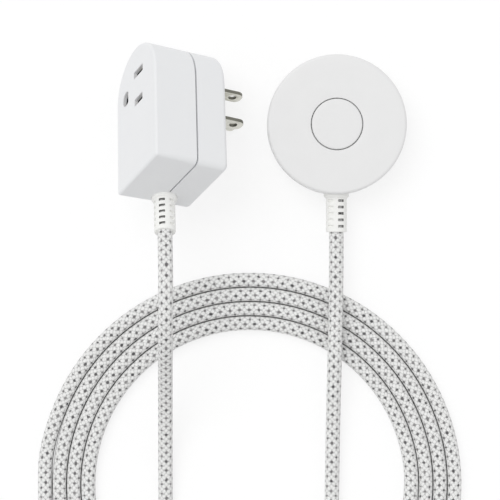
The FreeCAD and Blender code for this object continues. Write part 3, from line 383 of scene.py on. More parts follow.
def plated_metal(name, shade, dull, roughness, grain, streak=(1, 1, 1)):
    """Plated or drawn metal: a metallic colour with dull patches and fine rolling marks."""
    material, tree = new_material(name)
    place = add(tree, "TexCoord", output="Object")
    along = add(tree, "Mapping", {"Vector": place, "Scale": streak})
    patches = add(tree, "TexNoise", {
        "Vector": place, "Scale": 1 / (PATCH_SIZE * MM), "Detail": 4.0,
    })
    tint = add(
        tree, "Mix", {"Factor": patches, MIX_A: colour(shade), MIX_B: colour(dull)},
        output=MIXED, data_type="RGBA",
    )
    marks = add(tree, "TexNoise", {"Vector": along, "Scale": 1 / (grain * MM), "Detail": 3.0})
    gloss = add(tree, "MapRange", {
        "Value": marks, "To Min": roughness - 0.08, "To Max": roughness + 0.12,
    })
    normal = add(tree, "Bump", {"Height": marks, "Strength": 0.15, "Distance": GRAIN_DEPTH * MM})
    surface = add(tree, "BsdfPrincipled", {
        "Base Color": tint, "Metallic": 1.0, "Roughness": gloss, "Normal": normal,
    })
    add(tree, "OutputMaterial", {"Surface": surface})
    return material


# Braid: 20 bands, 10 each way round, each of three yarns, over one and under one. Every second band
# of one way is grey, and shows as a fleck wherever it lies on top. The flecks repeat every 4 mm.
BANDS = 10
BAND_LAY = 20.0
YARNS_IN_BAND = 3
BAND_START = 0.022  # share of a turn
BAND_SLACK = 0.7  # share of a band's width
SLACK_LENGTH = 1.3
TIGHT_SIDE = 0.28  # share of a turn
TIGHT_PULL = 0.3
TIGHT_FALL = 6.0
BARED_FROM = 0.64  # a grey band starts to show at this height of its swell, and is bare at the next
BARED_TO = 0.92
BRAID_WHITE = "FBFBFA"
BRAID_SHADE = "F3F3F2"
FLECK_DARK = "504F51"
FLECK_LIGHT = "9A9898"
CREASE_REACH = 2.2
BAND_RELIEF = 0.22


def braid_material():
    """Nylon braid over the cord: matt yarns lying in flat bands, and grey flecks.

    The braiding machine never lays two yarns quite alike, so a noise shifts them a little. The
    grey bands are bared most along one line of the cord, where the coil draws the braid tight.
    Where strands touch, the braid is painted darker from its own ambient occlusion: a painted
    shade, nearly black between them.
    """
    material, tree = new_material("nylon_braid")
    length_way = add(tree, "SeparateXYZ", {0: add(tree, "UVMap", uv_map="braid")})
    round_way = length_way.node.outputs[1]
    place = add(tree, "TexCoord", output="Object")
    wander = add(tree, "TexNoise", {
        "Vector": place, "Scale": 1 / (SLACK_LENGTH * MM), "Detail": 2.0,
    })
    slack = add(tree, "Math", {0: wander, 1: 0.5}, operation="SUBTRACT")
    slack = add(tree, "Math", {0: slack, 1: BAND_SLACK}, operation="MULTIPLY")
    turns = add(tree, "Math", {0: length_way, 1: BANDS / (BAND_LAY * MM)}, operation="MULTIPLY")
    count = add(tree, "Math", {0: round_way, 1: BAND_START}, operation="SUBTRACT")
    count = add(tree, "Math", {0: count, 1: BANDS}, operation="MULTIPLY")
    right_hand = add(tree, "Math", {0: count, 1: turns}, operation="ADD")
    right_hand = add(tree, "Math", {0: right_hand, 1: slack}, operation="ADD")
    left_hand = add(tree, "Math", {0: count, 1: turns}, operation="SUBTRACT")
    left_hand = add(tree, "Math", {0: left_hand, 1: slack}, operation="SUBTRACT")
    right_cell = add(tree, "Math", {0: right_hand}, operation="FLOOR")
    left_cell = add(tree, "Math", {0: left_hand}, operation="FLOOR")
    left_on_top = add(tree, "Math", {0: right_cell, 1: left_cell}, operation="ADD")
    left_on_top = add(tree, "Math", {0: left_on_top, 1: 2.0}, operation="FLOORED_MODULO")

    # where a point lies on the band that is on top: across it, and along its float over another
    from_right = add(tree, "Math", {0: right_hand, 1: right_cell}, operation="SUBTRACT")
    from_left = add(tree, "Math", {0: left_hand, 1: left_cell}, operation="SUBTRACT")
    across = add(tree, "Mix", {"Factor": left_on_top, "A": from_right, "B": from_left})
    along = add(tree, "Mix", {"Factor": left_on_top, "A": from_left, "B": from_right})
    swell_across = add(tree, "Math", {0: across, 1: math.pi}, operation="MULTIPLY")
    swell_across = add(tree, "Math", {0: swell_across}, operation="SINE")
    swell_along = add(tree, "Math", {0: along, 1: math.pi}, operation="MULTIPLY")
    swell_along = add(tree, "Math", {0: swell_along}, operation="SINE")
    swell = add(tree, "Math", {0: swell_across, 1: swell_along}, operation="MULTIPLY")
    yarn_count = add(tree, "Math", {0: across, 1: YARNS_IN_BAND}, operation="MULTIPLY")
    yarn_cell = add(tree, "Math", {0: yarn_count}, operation="FLOOR")
    yarn_swell = add(tree, "Math", {0: yarn_count, 1: math.pi}, operation="MULTIPLY")
    yarn_swell = add(tree, "Math", {0: yarn_swell}, operation="SINE")
    yarn_swell = add(tree, "Math", {0: yarn_swell}, operation="ABSOLUTE")

    # every float has its own tone, and so has each yarn in it
    float_place = add(tree, "CombineXYZ", {"X": right_cell, "Y": left_cell})
    float_chance = add(tree, "TexWhiteNoise", {"Vector": float_place})
    yarn_middle = add(tree, "Math", {0: yarn_cell, 1: 0.5}, operation="ADD")
    yarn_place = add(tree, "CombineXYZ", {"X": right_cell, "Y": left_cell, "Z": yarn_middle})
    yarn_chance = add(tree, "TexWhiteNoise", {"Vector": yarn_place})

    # the grey bands, bared most where they swell and along the tight side of the cord
    grey_band = add(tree, "Math", {0: right_cell, 1: 2.0}, operation="FLOORED_MODULO")
    grey_band = add(tree, "Math", {0: grey_band, 1: 0.5}, operation="LESS_THAN")
    right_on_top = add(tree, "Math", {0: 1.0, 1: left_on_top}, operation="SUBTRACT")
    on_top = add(tree, "Math", {0: grey_band, 1: right_on_top}, operation="MULTIPLY")
    tight = add(tree, "Math", {0: round_way, 1: TIGHT_SIDE}, operation="SUBTRACT")
    tight = add(tree, "Math", {0: tight, 1: 2 * math.pi}, operation="MULTIPLY")
    tight = add(tree, "Math", {0: tight}, operation="COSINE")
    tight = add(tree, "Math", {0: tight, 1: 0.0}, operation="MAXIMUM")
    tight = add(tree, "Math", {0: tight, 1: TIGHT_FALL}, operation="POWER")
    tight = add(tree, "Math", {0: tight, 1: TIGHT_PULL}, operation="MULTIPLY")
    uneven = add(tree, "Math", {0: wander, 1: 0.5}, operation="MULTIPLY")
    bared = add(tree, "Math", {0: swell, 1: uneven}, operation="ADD")
    bared = add(tree, "Math", {0: bared, 1: tight}, operation="ADD")
    bared = add(tree, "MapRange", {
        "Value": bared, "From Min": BARED_FROM, "From Max": BARED_TO,
    })
    fleck = add(tree, "Math", {0: on_top, 1: bared}, operation="MULTIPLY")

    # colours, with painted shade in the creases between bands and yarns and between strands that
    # touch
    grey, white = [
        add(
            tree, "Mix", {"Factor": chance, MIX_A: colour(first), MIX_B: colour(second)},
            output=MIXED, data_type="RGBA",
        )
        for chance, first, second in (
            (float_chance, FLECK_DARK, FLECK_LIGHT), (yarn_chance, BRAID_WHITE, BRAID_SHADE),
        )
    ]
    yarn = add(
        tree, "Mix", {"Factor": fleck, MIX_A: white, MIX_B: grey}, output=MIXED, data_type="RGBA",
    )
    # painted shade: the colour darkens towards the creases between bands and between yarns
    band_crease_shade = add(tree, "MapRange", {"Value": swell, "From Max": 0.25, "To Min": 0.55})
    yarn_crease_shade = add(tree, "MapRange", {"Value": yarn_swell, "From Max": 0.5, "To Min": 0.55})
    # painted shade: ambient occlusion darkens the braid's colour where strands lie close, nearly
    # black between them
    openness = add(
        tree, "AmbientOcclusion", {"Distance": CREASE_REACH * MM}, output="AO", samples=8,
        only_local=True,
    )
    painted_contact_shade = add(tree, "MapRange", {
        "Value": openness, "From Min": 0.12, "From Max": 0.5, "To Min": 0.06,
    })
    painted_crease_shade = add(tree, "Math", {0: band_crease_shade, 1: yarn_crease_shade}, operation="MULTIPLY")
    painted_crease_shade = add(tree, "Math", {0: painted_crease_shade, 1: painted_contact_shade}, operation="MULTIPLY")
    tint = add(
        tree, "Mix", {"Factor": 1.0, MIX_A: yarn, MIX_B: painted_crease_shade}, output=MIXED, data_type="RGBA",
        blend_type="MULTIPLY",
    )

    # relief of the bands, and of the yarns in them
    rise = add(tree, "Math", {0: swell, 1: 0.5}, operation="POWER")
    yarn_rise = add(tree, "Math", {0: yarn_swell, 1: 0.35}, operation="MULTIPLY")
    height = add(tree, "Math", {0: rise, 1: yarn_rise}, operation="ADD")
    normal = add(tree, "Bump", {"Height": height, "Strength": 0.6, "Distance": BAND_RELIEF * MM})
    surface = add(tree, "BsdfPrincipled", {
        "Base Color": tint, "Roughness": 0.78, "Normal": normal, "IOR": 1.5, "Sheen Weight": 0.15,
        "Sheen Roughness": 0.5,
    })
    add(tree, "OutputMaterial", {"Surface": surface})
    return material


# satin white mouldings of the puck, its button and the tap, and the softer white of the sleeves
puck_plastic = moulded_plastic("moulded_abs_puck", "EAEAEA", "E6E6E6", 0.5)
button_plastic = moulded_plastic("moulded_abs_button", "E9E9E9", "E6E6E6", 0.46)
tap_plastic = moulded_plastic("moulded_polycarbonate_tap", "ECEDEE", "E9EAEC", 0.4)
relief_rubber = moulded_plastic("moulded_soft_vinyl", "F7F7F5", "F3F3F0", 0.6, 0.5, 0.2)
# painted shade: a darker grey for the walls of the deep slots, standing in for the shade in their
# recesses
painted_slot_shade = moulded_plastic("moulded_soft_vinyl_painted_slot_shade", "9A9A98", "888886", 0.8, 0.5, 0.2)
pad_rubber = moulded_plastic("pressed_foot_rubber", "4A4A4C", "3E3E40", 0.8, 0.6, 0.5)

# what lies inside: nylon, pressed board, a black contact block and the wires' extruded vinyl
nylon = moulded_plastic("moulded_nylon_inside", "DCDCDA", "CFCFCC", 0.55)
phenolic = moulded_plastic("pressed_terminal_board", "5B5148", "4D443C", 0.7)
polyester = moulded_plastic("moulded_contact_block", "3A3A3C", "323234", 0.6)
black_insulation = moulded_plastic("extruded_vinyl_black", "1C1C1D", "252526", 0.45)
white_insulation = moulded_plastic("extruded_vinyl_white", "E4E4E2", "D8D8D6", 0.45)

# bright nickel with marks along the blade, its sheared edges duller and painted darker for the dark
# reflection they show, brass contacts, zinc screws
nickel = plated_metal("nickel_plated_brass", "E4E3DB", "C6C5BC", 0.3, 0.5, (6, 6, 1))
sheared_edge_painted_dark = plated_metal("sheared_nickel_edge_painted_dark", "86857C", "6E6D65", 0.5, 0.3)
brass = plated_metal("stamped_brass", "D4B067", "B99654", 0.35, 0.4)
zinc = plated_metal("zinc_plated_steel", "B9BBBE", "9D9FA3", 0.35, 0.4)
braid = braid_material()


# Puck
def relief_cutters(x, y, z):
    """Room for the neck, the flange and the collar of a strain relief seated at this place."""
    lying = (math.pi / 2, 0, 0)
    # each by its radius and its reach along Y from the seat
    spans = (
        ("neck_hole", NECK_RADIUS + 0.05, -3.6, 6.4),
        ("flange_room", RELIEF_FLANGE_RADIUS + 0.1, NECK_LENGTH, NECK_LENGTH + 3),
        ("collar_seat", COLLAR_RADIUS + 0.06, -6, 0),
    )
    return [
        rod(name, radius, inner - outer, (x, y + (outer + inner) / 2, z), lying)
        for name, radius, outer, inner in spans
    ]


def puck_cover():
    """The upper shell, with the button's hole and a ring inside it that guides the button."""
    hole = BUTTON_RADIUS + BUTTON_GAP
    ceiling = PUCK_TOP - COVER_WALL
    inner = PUCK_RADIUS - COVER_WALL
    edge = PARTING_HEIGHT + PARTING_GAP + PARTING_ROUND
    ring_inner, ring_outer = GUIDE_RING_RADII
    ring_end = ceiling - GUIDE_RING_DEPTH
    shoulder = (PUCK_RADIUS - PUCK_SHOULDER, PUCK_TOP - PUCK_SHOULDER, PUCK_SHOULDER)
    # the two points on the flat top keep the edges' shading off it
    profile = (
        [(hole, ceiling), (hole, PUCK_TOP - HOLE_EDGE)]
        + arc(hole + HOLE_EDGE, PUCK_TOP - HOLE_EDGE, HOLE_EDGE, 180, 90, 5)[1:]
        + [(hole + 3.0, PUCK_TOP), (PUCK_RADIUS - 6, PUCK_TOP)]
        + arc(*shoulder, 90, 0, 10)
        + [(PUCK_RADIUS, edge)]
        + arc(PUCK_RADIUS - PARTING_ROUND, edge, PARTING_ROUND, 0, -90, 4)[1:]
        + [(inner, PARTING_HEIGHT + PARTING_GAP), (inner, ceiling - 2), (inner - 2, ceiling)]
        + [(ring_outer, ceiling), (ring_outer, ring_end), (ring_inner, ring_end)]
        + [(ring_inner, ceiling), (hole, ceiling)]
    )
    piece = lathe("puck_cover", profile)
    carve(piece, *relief_cutters(*PUCK_SEAT))
    return settle(piece, puck_plastic, ["top_cover"])


def puck_base():
    """The lower shell, with a shallow pocket underneath for the foot pad."""
    floor = PAD_THICKNESS + COVER_WALL
    inner = PUCK_RADIUS - COVER_WALL
    pocket = PAD_RADIUS + 0.1
    edge = PARTING_HEIGHT - PARTING_ROUND
    foot_round = (PUCK_RADIUS - PUCK_FOOT_ROUND, PUCK_UNDERSIDE + PUCK_FOOT_ROUND, PUCK_FOOT_ROUND)
    profile = (
        [(0, PAD_THICKNESS), (pocket, PAD_THICKNESS), (pocket, PUCK_UNDERSIDE)]
        + arc(*foot_round, -90, 0, 14)
        + [(PUCK_RADIUS, edge)]
        + arc(PUCK_RADIUS - PARTING_ROUND, edge, PARTING_ROUND, 0, 90, 4)[1:]
        + [(inner, PARTING_HEIGHT), (inner, floor), (0, floor)]
    )
    piece = lathe("puck_base", profile)
    carve(piece, *relief_cutters(*PUCK_SEAT))
    return settle(piece, puck_plastic, ["base_shell"])


def foot_pad():
    """A rubber disc with two shallow grip grooves underneath."""
    profile = [(0, 0)]
    for groove in PAD_GROOVES:
        profile += [
            (groove, 0), (groove + 0.2, GROOVE_DEPTH), (groove + 1.0, GROOVE_DEPTH),
            (groove + 1.2, 0),
        ]
    profile += (
        [(PAD_RADIUS - PAD_EDGE, 0)]
        + arc(PAD_RADIUS - PAD_EDGE, PAD_EDGE, PAD_EDGE, -90, 0, 4)[1:]
        + [(PAD_RADIUS, PAD_THICKNESS), (0, PAD_THICKNESS)]
    )
    return settle(lathe("foot_pad_rubber", profile), pad_rubber, ["foot_pad"])


def button():
    """The round cap: a soft top edge, a skirt with the flange that stops it, and a stem."""
    flange_top = PUCK_TOP - COVER_WALL - 0.3
    flange_end = flange_top - BUTTON_WALL
    flange_radius = BUTTON_RADIUS + FLANGE_WIDTH
    wall = BUTTON_RADIUS - BUTTON_WALL
    ceiling = BUTTON_TOP - BUTTON_WALL
    stem_inner, stem_outer = STEM_RADII
    profile = (
        [(0, BUTTON_TOP), (BUTTON_RADIUS - 3, BUTTON_TOP)]
        + arc(BUTTON_RADIUS - BUTTON_EDGE, BUTTON_TOP - BUTTON_EDGE, BUTTON_EDGE, 90, 0, 8)
        + [(BUTTON_RADIUS, flange_top), (flange_radius, flange_top), (flange_radius, flange_end)]
        + [(wall, flange_end), (wall, ceiling), (stem_outer, ceiling), (stem_outer, STEM_END)]
        + [(stem_inner, STEM_END), (stem_inner, ceiling), (0, ceiling)]
    )
    piece = lathe("button_disc", profile)
    return settle(piece, button_plastic, ["button_cap"], body="button")


def push_spring():
    """The coil spring under the cap, made at its length with the button up."""
    low, high = SPRING_SEAT, BUTTON_TOP - BUTTON_WALL
    first = low + SPRING_WIRE + SPRING_CLEARANCE
    rise = high - low - 2 * (SPRING_WIRE + SPRING_CLEARANCE)
    bpy.ops.object.select_all(action="DESELECT")
    bpy.ops.mesh.primitive_circle_add(
        vertices=16, radius=SPRING_WIRE * MM, location=(SPRING_RADIUS * MM, 0, first * MM),
        rotation=(math.pi / 2, 0, 0),
    )
    piece = take_new("push_spring")
    apply_modifier(
        piece, "SCREW", angle=2 * math.pi * SPRING_TURNS, screw_offset=rise * MM,
        steps=SPRING_STEPS, render_steps=SPRING_STEPS,
    )
    edit(piece)
    bpy.ops.mesh.fill_holes(sides=0)
    bpy.ops.mesh.normals_make_consistent(inside=False)
    leave()
    settle(piece, zinc, ["return_spring"], angle=60)
    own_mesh(piece)
    return piece


def strain_relief(name, phase, place, node):
    """A collar and a sleeve over the cord, lathed upright and laid along -Y from their seat.

    The slots are deep and shallow by turns round the sleeve, from the phase in degrees.
    """
    bore = CORD_RADIUS - 0.12
    tip = -RELIEF_LENGTH + SLEEVE_ROUND
    profile = (
        [(bore, RELIEF_FLANGE_TOP), (RELIEF_FLANGE_RADIUS, RELIEF_FLANGE_TOP)]
        + [(RELIEF_FLANGE_RADIUS, NECK_LENGTH), (NECK_RADIUS, NECK_LENGTH), (NECK_RADIUS, 0)]
        + [(COLLAR_RADIUS, 0), (COLLAR_RADIUS, -1.3)]
        + arc(COLLAR_RADIUS - COLLAR_ROUND, -1.4, COLLAR_ROUND, 0, -70, 5)
        + [(SLEEVE_RADIUS + 0.12, -2.15), (SLEEVE_RADIUS, -2.4), (SLEEVE_RADIUS, tip)]
        + arc(SLEEVE_RADIUS - SLEEVE_ROUND, tip, SLEEVE_ROUND, 0, -90, 5)[1:]
        + [(bore, -RELIEF_LENGTH), (bore, RELIEF_FLANGE_TOP)]
    )
    piece = lathe(name, profile, 96)
    piece.data.transform(Matrix.Rotation(-math.pi / 2, 4, "X"))
    for row in range(SLOT_ROWS):
        along = -(FIRST_SLOT + SLOT_PITCH * row)
        for column in range(SLOT_COLUMNS):
            turn = Matrix.Rotation(math.radians(phase + 360 / SLOT_COLUMNS * column), 4, "Y")
            depth = SHALLOW_SLOT if column % 2 else DEEP_SLOT
            size = (SLOT_WIDTH, SLOT_HEIGHT, 2 * depth)
            slot = block("slot", size, (0, along, SLEEVE_RADIUS), turn)
            apply_modifier(slot, "BEVEL", width=SLOT_ROUND * MM, segments=2)
            carve(piece, slot)

    def in_deep_slot(face):
        away = math.hypot(face.center.x, face.center.z) / MM
        bearing = math.degrees(math.atan2(face.center.x, face.center.z))
        column = round((bearing - phase) / (360 / SLOT_COLUMNS))
        on_sleeve = -RELIEF_LENGTH + 1 < face.center.y / MM < -2.45
        return on_sleeve and bore + 0.1 < away < SLEEVE_RADIUS - 0.05 and column % 2 == 0

    # the deep slots' walls take the grey vinyl, a painted shade in their recesses
    accent = (painted_slot_shade, in_deep_slot)
    return settle(piece, relief_rubber, [node], place, accent=accent)


# Tap block
def arch_outline(inset, corner=FOOT_CORNER):
    """Flat foot with round corners, upright sides, and an arch a little taller than half round."""
    steps = 10
    half = TAP_WIDTH / 2 - inset
    shoulder = TAP_SHOULDER - inset
    spread = TAP_WIDTH / 2 - TAP_SHOULDER
    climb = TAP_ARCH - TAP_SHOULDER
    drop = (spread * spread - climb * climb) / (2 * climb)
    crown = TAP_ARCH - inset + drop
    arch_foot = TAP_HEIGHT - TAP_ARCH
    lean = math.degrees(math.atan2(abs(drop), abs(spread)))
    return (
        arc(half - corner, inset + corner, corner, -90, 0, 6)
        + arc(spread, arch_foot, shoulder, 0, lean, steps)
        + arc(0, arch_foot - drop, crown, lean, 180 - lean, 4 * steps)[1:]
        + arc(-spread, arch_foot, shoulder, 180 - lean, 180, steps)[1:]
        + arc(corner - half, inset + corner, corner, 180, 270, 6)
    )


def rectangle(x, y, wide, tall):
    sides = ((-1, -1), (1, -1), (1, 1), (-1, 1))
    return [(x + side * wide / 2, y + end * tall / 2) for side, end in sides]


def outlet_outlines(more):
    """Two slots, and a ground hole with its flat towards them, all made wider by so much."""
    opening = SLOT_OPENING + more
    return [
        rectangle(OUTLET_X, UPPER_LINE, NEUTRAL_SLOT + more, opening),
        rectangle(OUTLET_X, LOWER_LINE, HOT_SLOT + more, opening),
        arc(
            OUTLET_X - GROUND_OFFSET, PATTERN_Y, GROUND_HOLE_RADIUS + more / 2, GROUND_HOLE_FLAT,
            360 - GROUND_HOLE_FLAT, 40,
        ),
    ]


def outlet_cutters():
    """The outlet's openings, each with a fine flared mouth."""
    cutters = []
    for outline, flared in zip(outlet_outlines(0), outlet_outlines(MOUTH_FLARE)):
        cutters.append(prism("opening", outline, -2 * TAP_WALL, 1))
        cutters.append(prism("mouth", outline, -MOUTH_DEPTH, MOUTH_DEPTH, flared))
    return cutters


def tap_front():
    """The front cover: a hollow block with a rebate at its seam, and the outlet in its face."""
    seam = -TAP_SEAM + SEAM_GAP / 2
    piece = prism("tap_front", arch_outline(0), seam, 0, arch_outline(0, FACE_CORNER))
    bevel_at(piece, 0, FACE_EDGE, 6)
    bevel_at(piece, seam, SEAM_EDGE, 2)
    carve(
        piece,
        prism("hollow", arch_outline(TAP_WALL), -TAP_SEAM - 1, -TAP_WALL),
        prism("rebate", arch_outline(REBATE_INSET), -TAP_SEAM - 1, -TAP_SEAM + 1.3),
        block("outlet_recess", OUTLET_RECESS, (OUTLET_X - 4.5, PATTERN_Y, -TAP_WALL)),
        *outlet_cutters(),
        *relief_cutters(*TAP_SEAT),
    )
    return settle(piece, tap_plastic, ["tap_front_cover"], TAP, flat=True)


def tap_rear():
    """The rear cover: its lip goes into the rebate, and the blades and the pin come out of it."""
    seam = -TAP_SEAM - SEAM_GAP / 2
    piece = prism("tap_rear", arch_outline(0), -TAP_DEPTH, seam)
    bevel_at(piece, -TAP_DEPTH, BACK_EDGE, 8)
    bevel_at(piece, seam, SEAM_EDGE, 2)
    lip = prism("lip", arch_outline(LIP_INSET), -TAP_SEAM - 2, -TAP_SEAM + 1.1)
    carve(piece, lip, operation="UNION")
    cutters = [prism("hollow", arch_outline(TAP_WALL), -TAP_DEPTH + TAP_WALL, -TAP_SEAM + 2)]
    blade_hole = (BLADE_WIDTH + 0.15, BLADE_THICKNESS + 0.14, 3 * TAP_WALL)
    for y in (UPPER_LINE, LOWER_LINE):
        cutters.append(block("blade_hole", blade_hole, (PLUG_X, y, -TAP_DEPTH)))
    pin_place = (PLUG_X - GROUND_OFFSET, PATTERN_Y, -TAP_DEPTH)
    cutters.append(rod("pin_hole", PIN_RADIUS + 0.06, 3 * TAP_WALL, pin_place))
    for x, y in TAP_SCREWS:
        cutters.append(rod("screw_sink", SCREW_SINK_RADIUS, SCREW_SINK_LENGTH, (x, y, -TAP_DEPTH)))
    carve(piece, *cutters, *relief_cutters(*TAP_SEAT))
    return settle(piece, tap_plastic, ["tap_rear_cover"], TAP, flat=True)


def blade(name, y, node):
    """A flat blade with a round nose and a hole, its edges broken by the stamping die."""
    half = BLADE_WIDTH / 2
    nose = -TAP_DEPTH - BLADE_LENGTH
    root = -TAP_SEAM - 1.0
    corner = BLADE_CORNER
    outline = (
        [(PLUG_X + half, root), (PLUG_X - half, root)]
        + arc(PLUG_X - half + corner, nose + corner, corner, 180, 270, 8)
        + arc(PLUG_X + half - corner, nose + corner, corner, 270, 360, 8)
    )
    piece = prism(name, outline, -BLADE_THICKNESS / 2, BLADE_THICKNESS / 2)
    carve(piece, rod("blade_hole", BLADE_HOLE_RADIUS, 6, (PLUG_X, -TAP_DEPTH - BLADE_HOLE_AT, 0)))
    apply_modifier(
        piece, "BEVEL", width=0.18 * MM, segments=2, limit_method="ANGLE",
        angle_limit=math.radians(50),
    )
    # the outline was drawn flat: its second axis becomes the depth, and its thickness the height
    swap = Matrix(((1, 0, 0, 0), (0, 0, 1, 0), (0, 1, 0, 0), (0, 0, 0, 1)))
    piece.data.transform(Matrix.Translation((0, y * MM, 0)) @ swap)
    piece.data.flip_normals()

    # the sheared edges take the darker nickel: duller metal, and painted darker as a painted
    # reflection of the dark surround
    def on_edge(face):
        return abs(face.normal.y) < 0.8

    return settle(piece, nickel, [node], TAP, accent=(sheared_edge_painted_dark, on_edge))


def ground_pin():
    """The round pin, with a half ball for its tip."""
    tip = -TAP_DEPTH - PIN_LENGTH + PIN_RADIUS
    profile = (
        [(0, PIN_ROOT), (PIN_RADIUS, PIN_ROOT), (PIN_RADIUS, tip)]
        + arc(0, tip, PIN_RADIUS, 0, -90, 10)[1:]
    )
    piece = lathe("ground_prong", profile, 48)
    place = Vector((PLUG_X - GROUND_OFFSET, PATTERN_Y, 0))
    piece.data.transform(Matrix.Translation(place * MM))
    return settle(piece, nickel, ["ground_pin"], TAP)


# Cord
CORD_SIDES = 24
CORD_SQUARENESS = 2.6
FACE_CORNERS = ((0, 0), (0, 1), (1, 1), (1, 0))  # steps along and round from a face's first corner
COIL_CENTRE = Vector((-35.2, -146.7, 2.93))
COIL_INNER = 66.1
COIL_PITCH = 5.85
COIL_TURNS = 3.5
COIL_TURN_POINTS = 16
LEAD_IN_RADIUS = 50.0
# points of the lead from inside the tap, down over the coil's upper side and round inside the ring
TAP_LEAD = [
    (-69.23, -25.19, 29.04),
    (-68.57, -43.89, 38.34),
    (-67.877, -63.578, 48.133),
    (-68.2, -84.7, 43.5),
    (-68.9, -99.3, 25.9),
    (-69.4, -118.2, 11.1),
    (-69.7, -146.0, 3.0),
    (-69.4, -170.3, 2.93),
    (-59.6, -187.1, 2.93),
    (-42.8, -196.7, 2.93),
    (-24.5, -196.7, 2.93),
]
# from the end of the coil, over its lower strands, through the ring and over the upper strands
SWITCH_LEAD = [
    (-118.85, -152.1, 2.93),
    (-118.85, -172.4, 2.93),
    (-103.1, -199.6, 5.2),
    (-75.9, -215.3, 11.2),
    (-44.5, -215.3, 12.2),
    (-17.3, -199.6, 11.6),
    (-2.1, -172.7, 5.4),
    (-1.5, -146.0, 2.95),
    (-1.2, -120.0, 5.2),
    (-0.8, -98.0, 11.2),
    (0.0, -62.6, 9.0),
    (0.0, -43.5, 9.0),
    (0.0, -15.5, 9.0),
]


def coil_points():
    """Control points of the quarter turn into the ring and of its three and a half turns.

    A quadratic spline runs inside its control points, so they lie on circles a little wider. The
    lower half circles, set half a pitch aside, join each strand to the next.
    """
    spread = 1 / math.cos(math.pi / COIL_TURN_POINTS)
    step = 360 / COIL_TURN_POINTS
    points = []

    def mark(aside, radius, angle):
        away = Vector((math.cos(math.radians(angle)), math.sin(math.radians(angle)), 0))
        points.append(COIL_CENTRE + Vector((aside, 0, 0)) + away * radius * spread)

    for turn in range(COIL_TURN_POINTS // 4):
        mark(COIL_INNER - LEAD_IN_RADIUS, LEAD_IN_RADIUS, 270 + step * (turn + 0.5))
    for turn in range(int(COIL_TURNS * COIL_TURN_POINTS)):
        angle = step * (turn + 0.5)
        aside = COIL_PITCH / 2 if angle % 360 > 180 else 0
        mark(aside, COIL_INNER + angle // 360 * COIL_PITCH + aside, angle)
    return points


def cord_route():
    """The cord's whole line, sampled from one smooth spline through all its points."""
    route = [*map(Vector, TAP_LEAD), *coil_points(), *map(Vector, SWITCH_LEAD)]
    line = bpy.data.curves.new("cord_line", "CURVE")
    line.dimensions = "3D"
    line.resolution_u = 30
    spline = line.splines.new("NURBS")
    spline.points.add(len(route) - 1)
    for point, place in zip(spline.points, route):
        point.co = (*(place * MM), 1)
    spline.order_u = 3
    spline.use_endpoint_u = True
    spline.resolution_u = 30
    carrier = bpy.data.objects.new("cord_line", line)
    sampled = bpy.data.meshes.new_from_object(carrier)
    path = [corner.co.copy() for corner in sampled.vertices]
    bpy.data.objects.remove(carrier)
    return path


def cord_section():
    """Points round the cord, and how far round it each one lies.

    The cord is a little squarer than round, as the wires side by side leave it under their braid.
    """
    power = 2 / CORD_SQUARENESS
    points = [
        Vector([math.copysign(abs(part) ** power, part) for part in point])
        for point in arc(0, 0, 1, 0, 360, CORD_SIDES)
    ]
    walked = [0.0]
    for before, after in zip(points, points[1:]):
        walked.append(walked[-1] + (after - before).length)
    return points[:-1], [distance / walked[-1] for distance in walked]


def braided_cord():
    """A tube along the route, with its braid's own map: length in metres, and one turn round."""
    path = cord_route()
    section, round_way = cord_section()
    shape = bmesh.new()
    layer = shape.loops.layers.uv.new("braid")
    rings, lengths = [], []
    travelled = 0.0
    for index, place in enumerate(path):
        ahead = path[min(index + 1, len(path) - 1)]
        behind = path[max(index - 1, 0)]
        heading = (ahead - behind).normalized()
        side = heading.cross(Vector((0, 0, 1))).normalized()
        up = side.cross(heading)
        if index:
            travelled += (place - path[index - 1]).length
        lengths.append(travelled)
        corners = [
            place + (side * across + up * above) * CORD_RADIUS * MM for across, above in section
        ]
        rings.append([shape.verts.new(corner) for corner in corners])
    for index in range(len(rings) - 1):
        for step in range(CORD_SIDES):
            face = shape.faces.new(
                [rings[index + on][(step + over) % CORD_SIDES] for on, over in FACE_CORNERS]
            )
            for loop, (on, over) in zip(face.loops, FACE_CORNERS):
                loop[layer].uv = (lengths[index + on], round_way[step + over])
    shape.faces.new(list(reversed(rings[0])))
    shape.faces.new(rings[-1])
    bmesh.ops.recalc_face_normals(shape, faces=shape.faces)
    mesh = bpy.data.meshes.new("braided_cord")
    shape.to_mesh(mesh)
    shape.free()
    piece = bpy.data.objects.new("braided_cord", mesh)
    bpy.context.scene.collection.objects.link(piece)
    nodes = ["cord_end_in_tap", "tap_lead", "cord_coil", "switch_lead", "cord_end_in_switch"]
    settle(piece, braid, nodes)
    return piece, path, travelled


# Camera and light
CAMERA_PLACE = Vector((-35.1, -50.8, 935))
CAMERA_LENS = 164.0
SUN_FROM = (-0.32, 0.36, 0.876)
SUN_STRENGTH = 0.97
SUN_SPREAD = 40
SURROUND_STRENGTH = 0.71
PAPER_SHADE = (0.9, 0.9, 0.9, 1)
PAPER_GLOW = 1.06
PAPER_GLOW_SHARE = 0.7
WHITE = (1, 1, 1, 1)


def camera():
    """Straight down, with the picture's upright side along +Y."""
    eye = bpy.data.objects.new("camera", bpy.data.cameras.new("camera"))
    bpy.context.scene.collection.objects.link(eye)
    eye.location = CAMERA_PLACE * MM
    eye.data.lens = CAMERA_LENS
    eye.data.clip_start = 0.05
    bpy.context.scene.camera = eye


def seen_directly(tree):
    """1 on rays from the camera, mirrors and glass, and 0 on those that carry the light about."""
    from_camera = add(tree, "LightPath", output="Is Camera Ray")
    rays = from_camera.node.outputs
    mirrored = add(
        tree, "Math", {0: rays["Is Glossy Ray"], 1: rays["Is Transmission Ray"]},
        operation="MAXIMUM",
    )
    return add(tree, "Math", {0: from_camera, 1: mirrored}, operation="MAXIMUM")


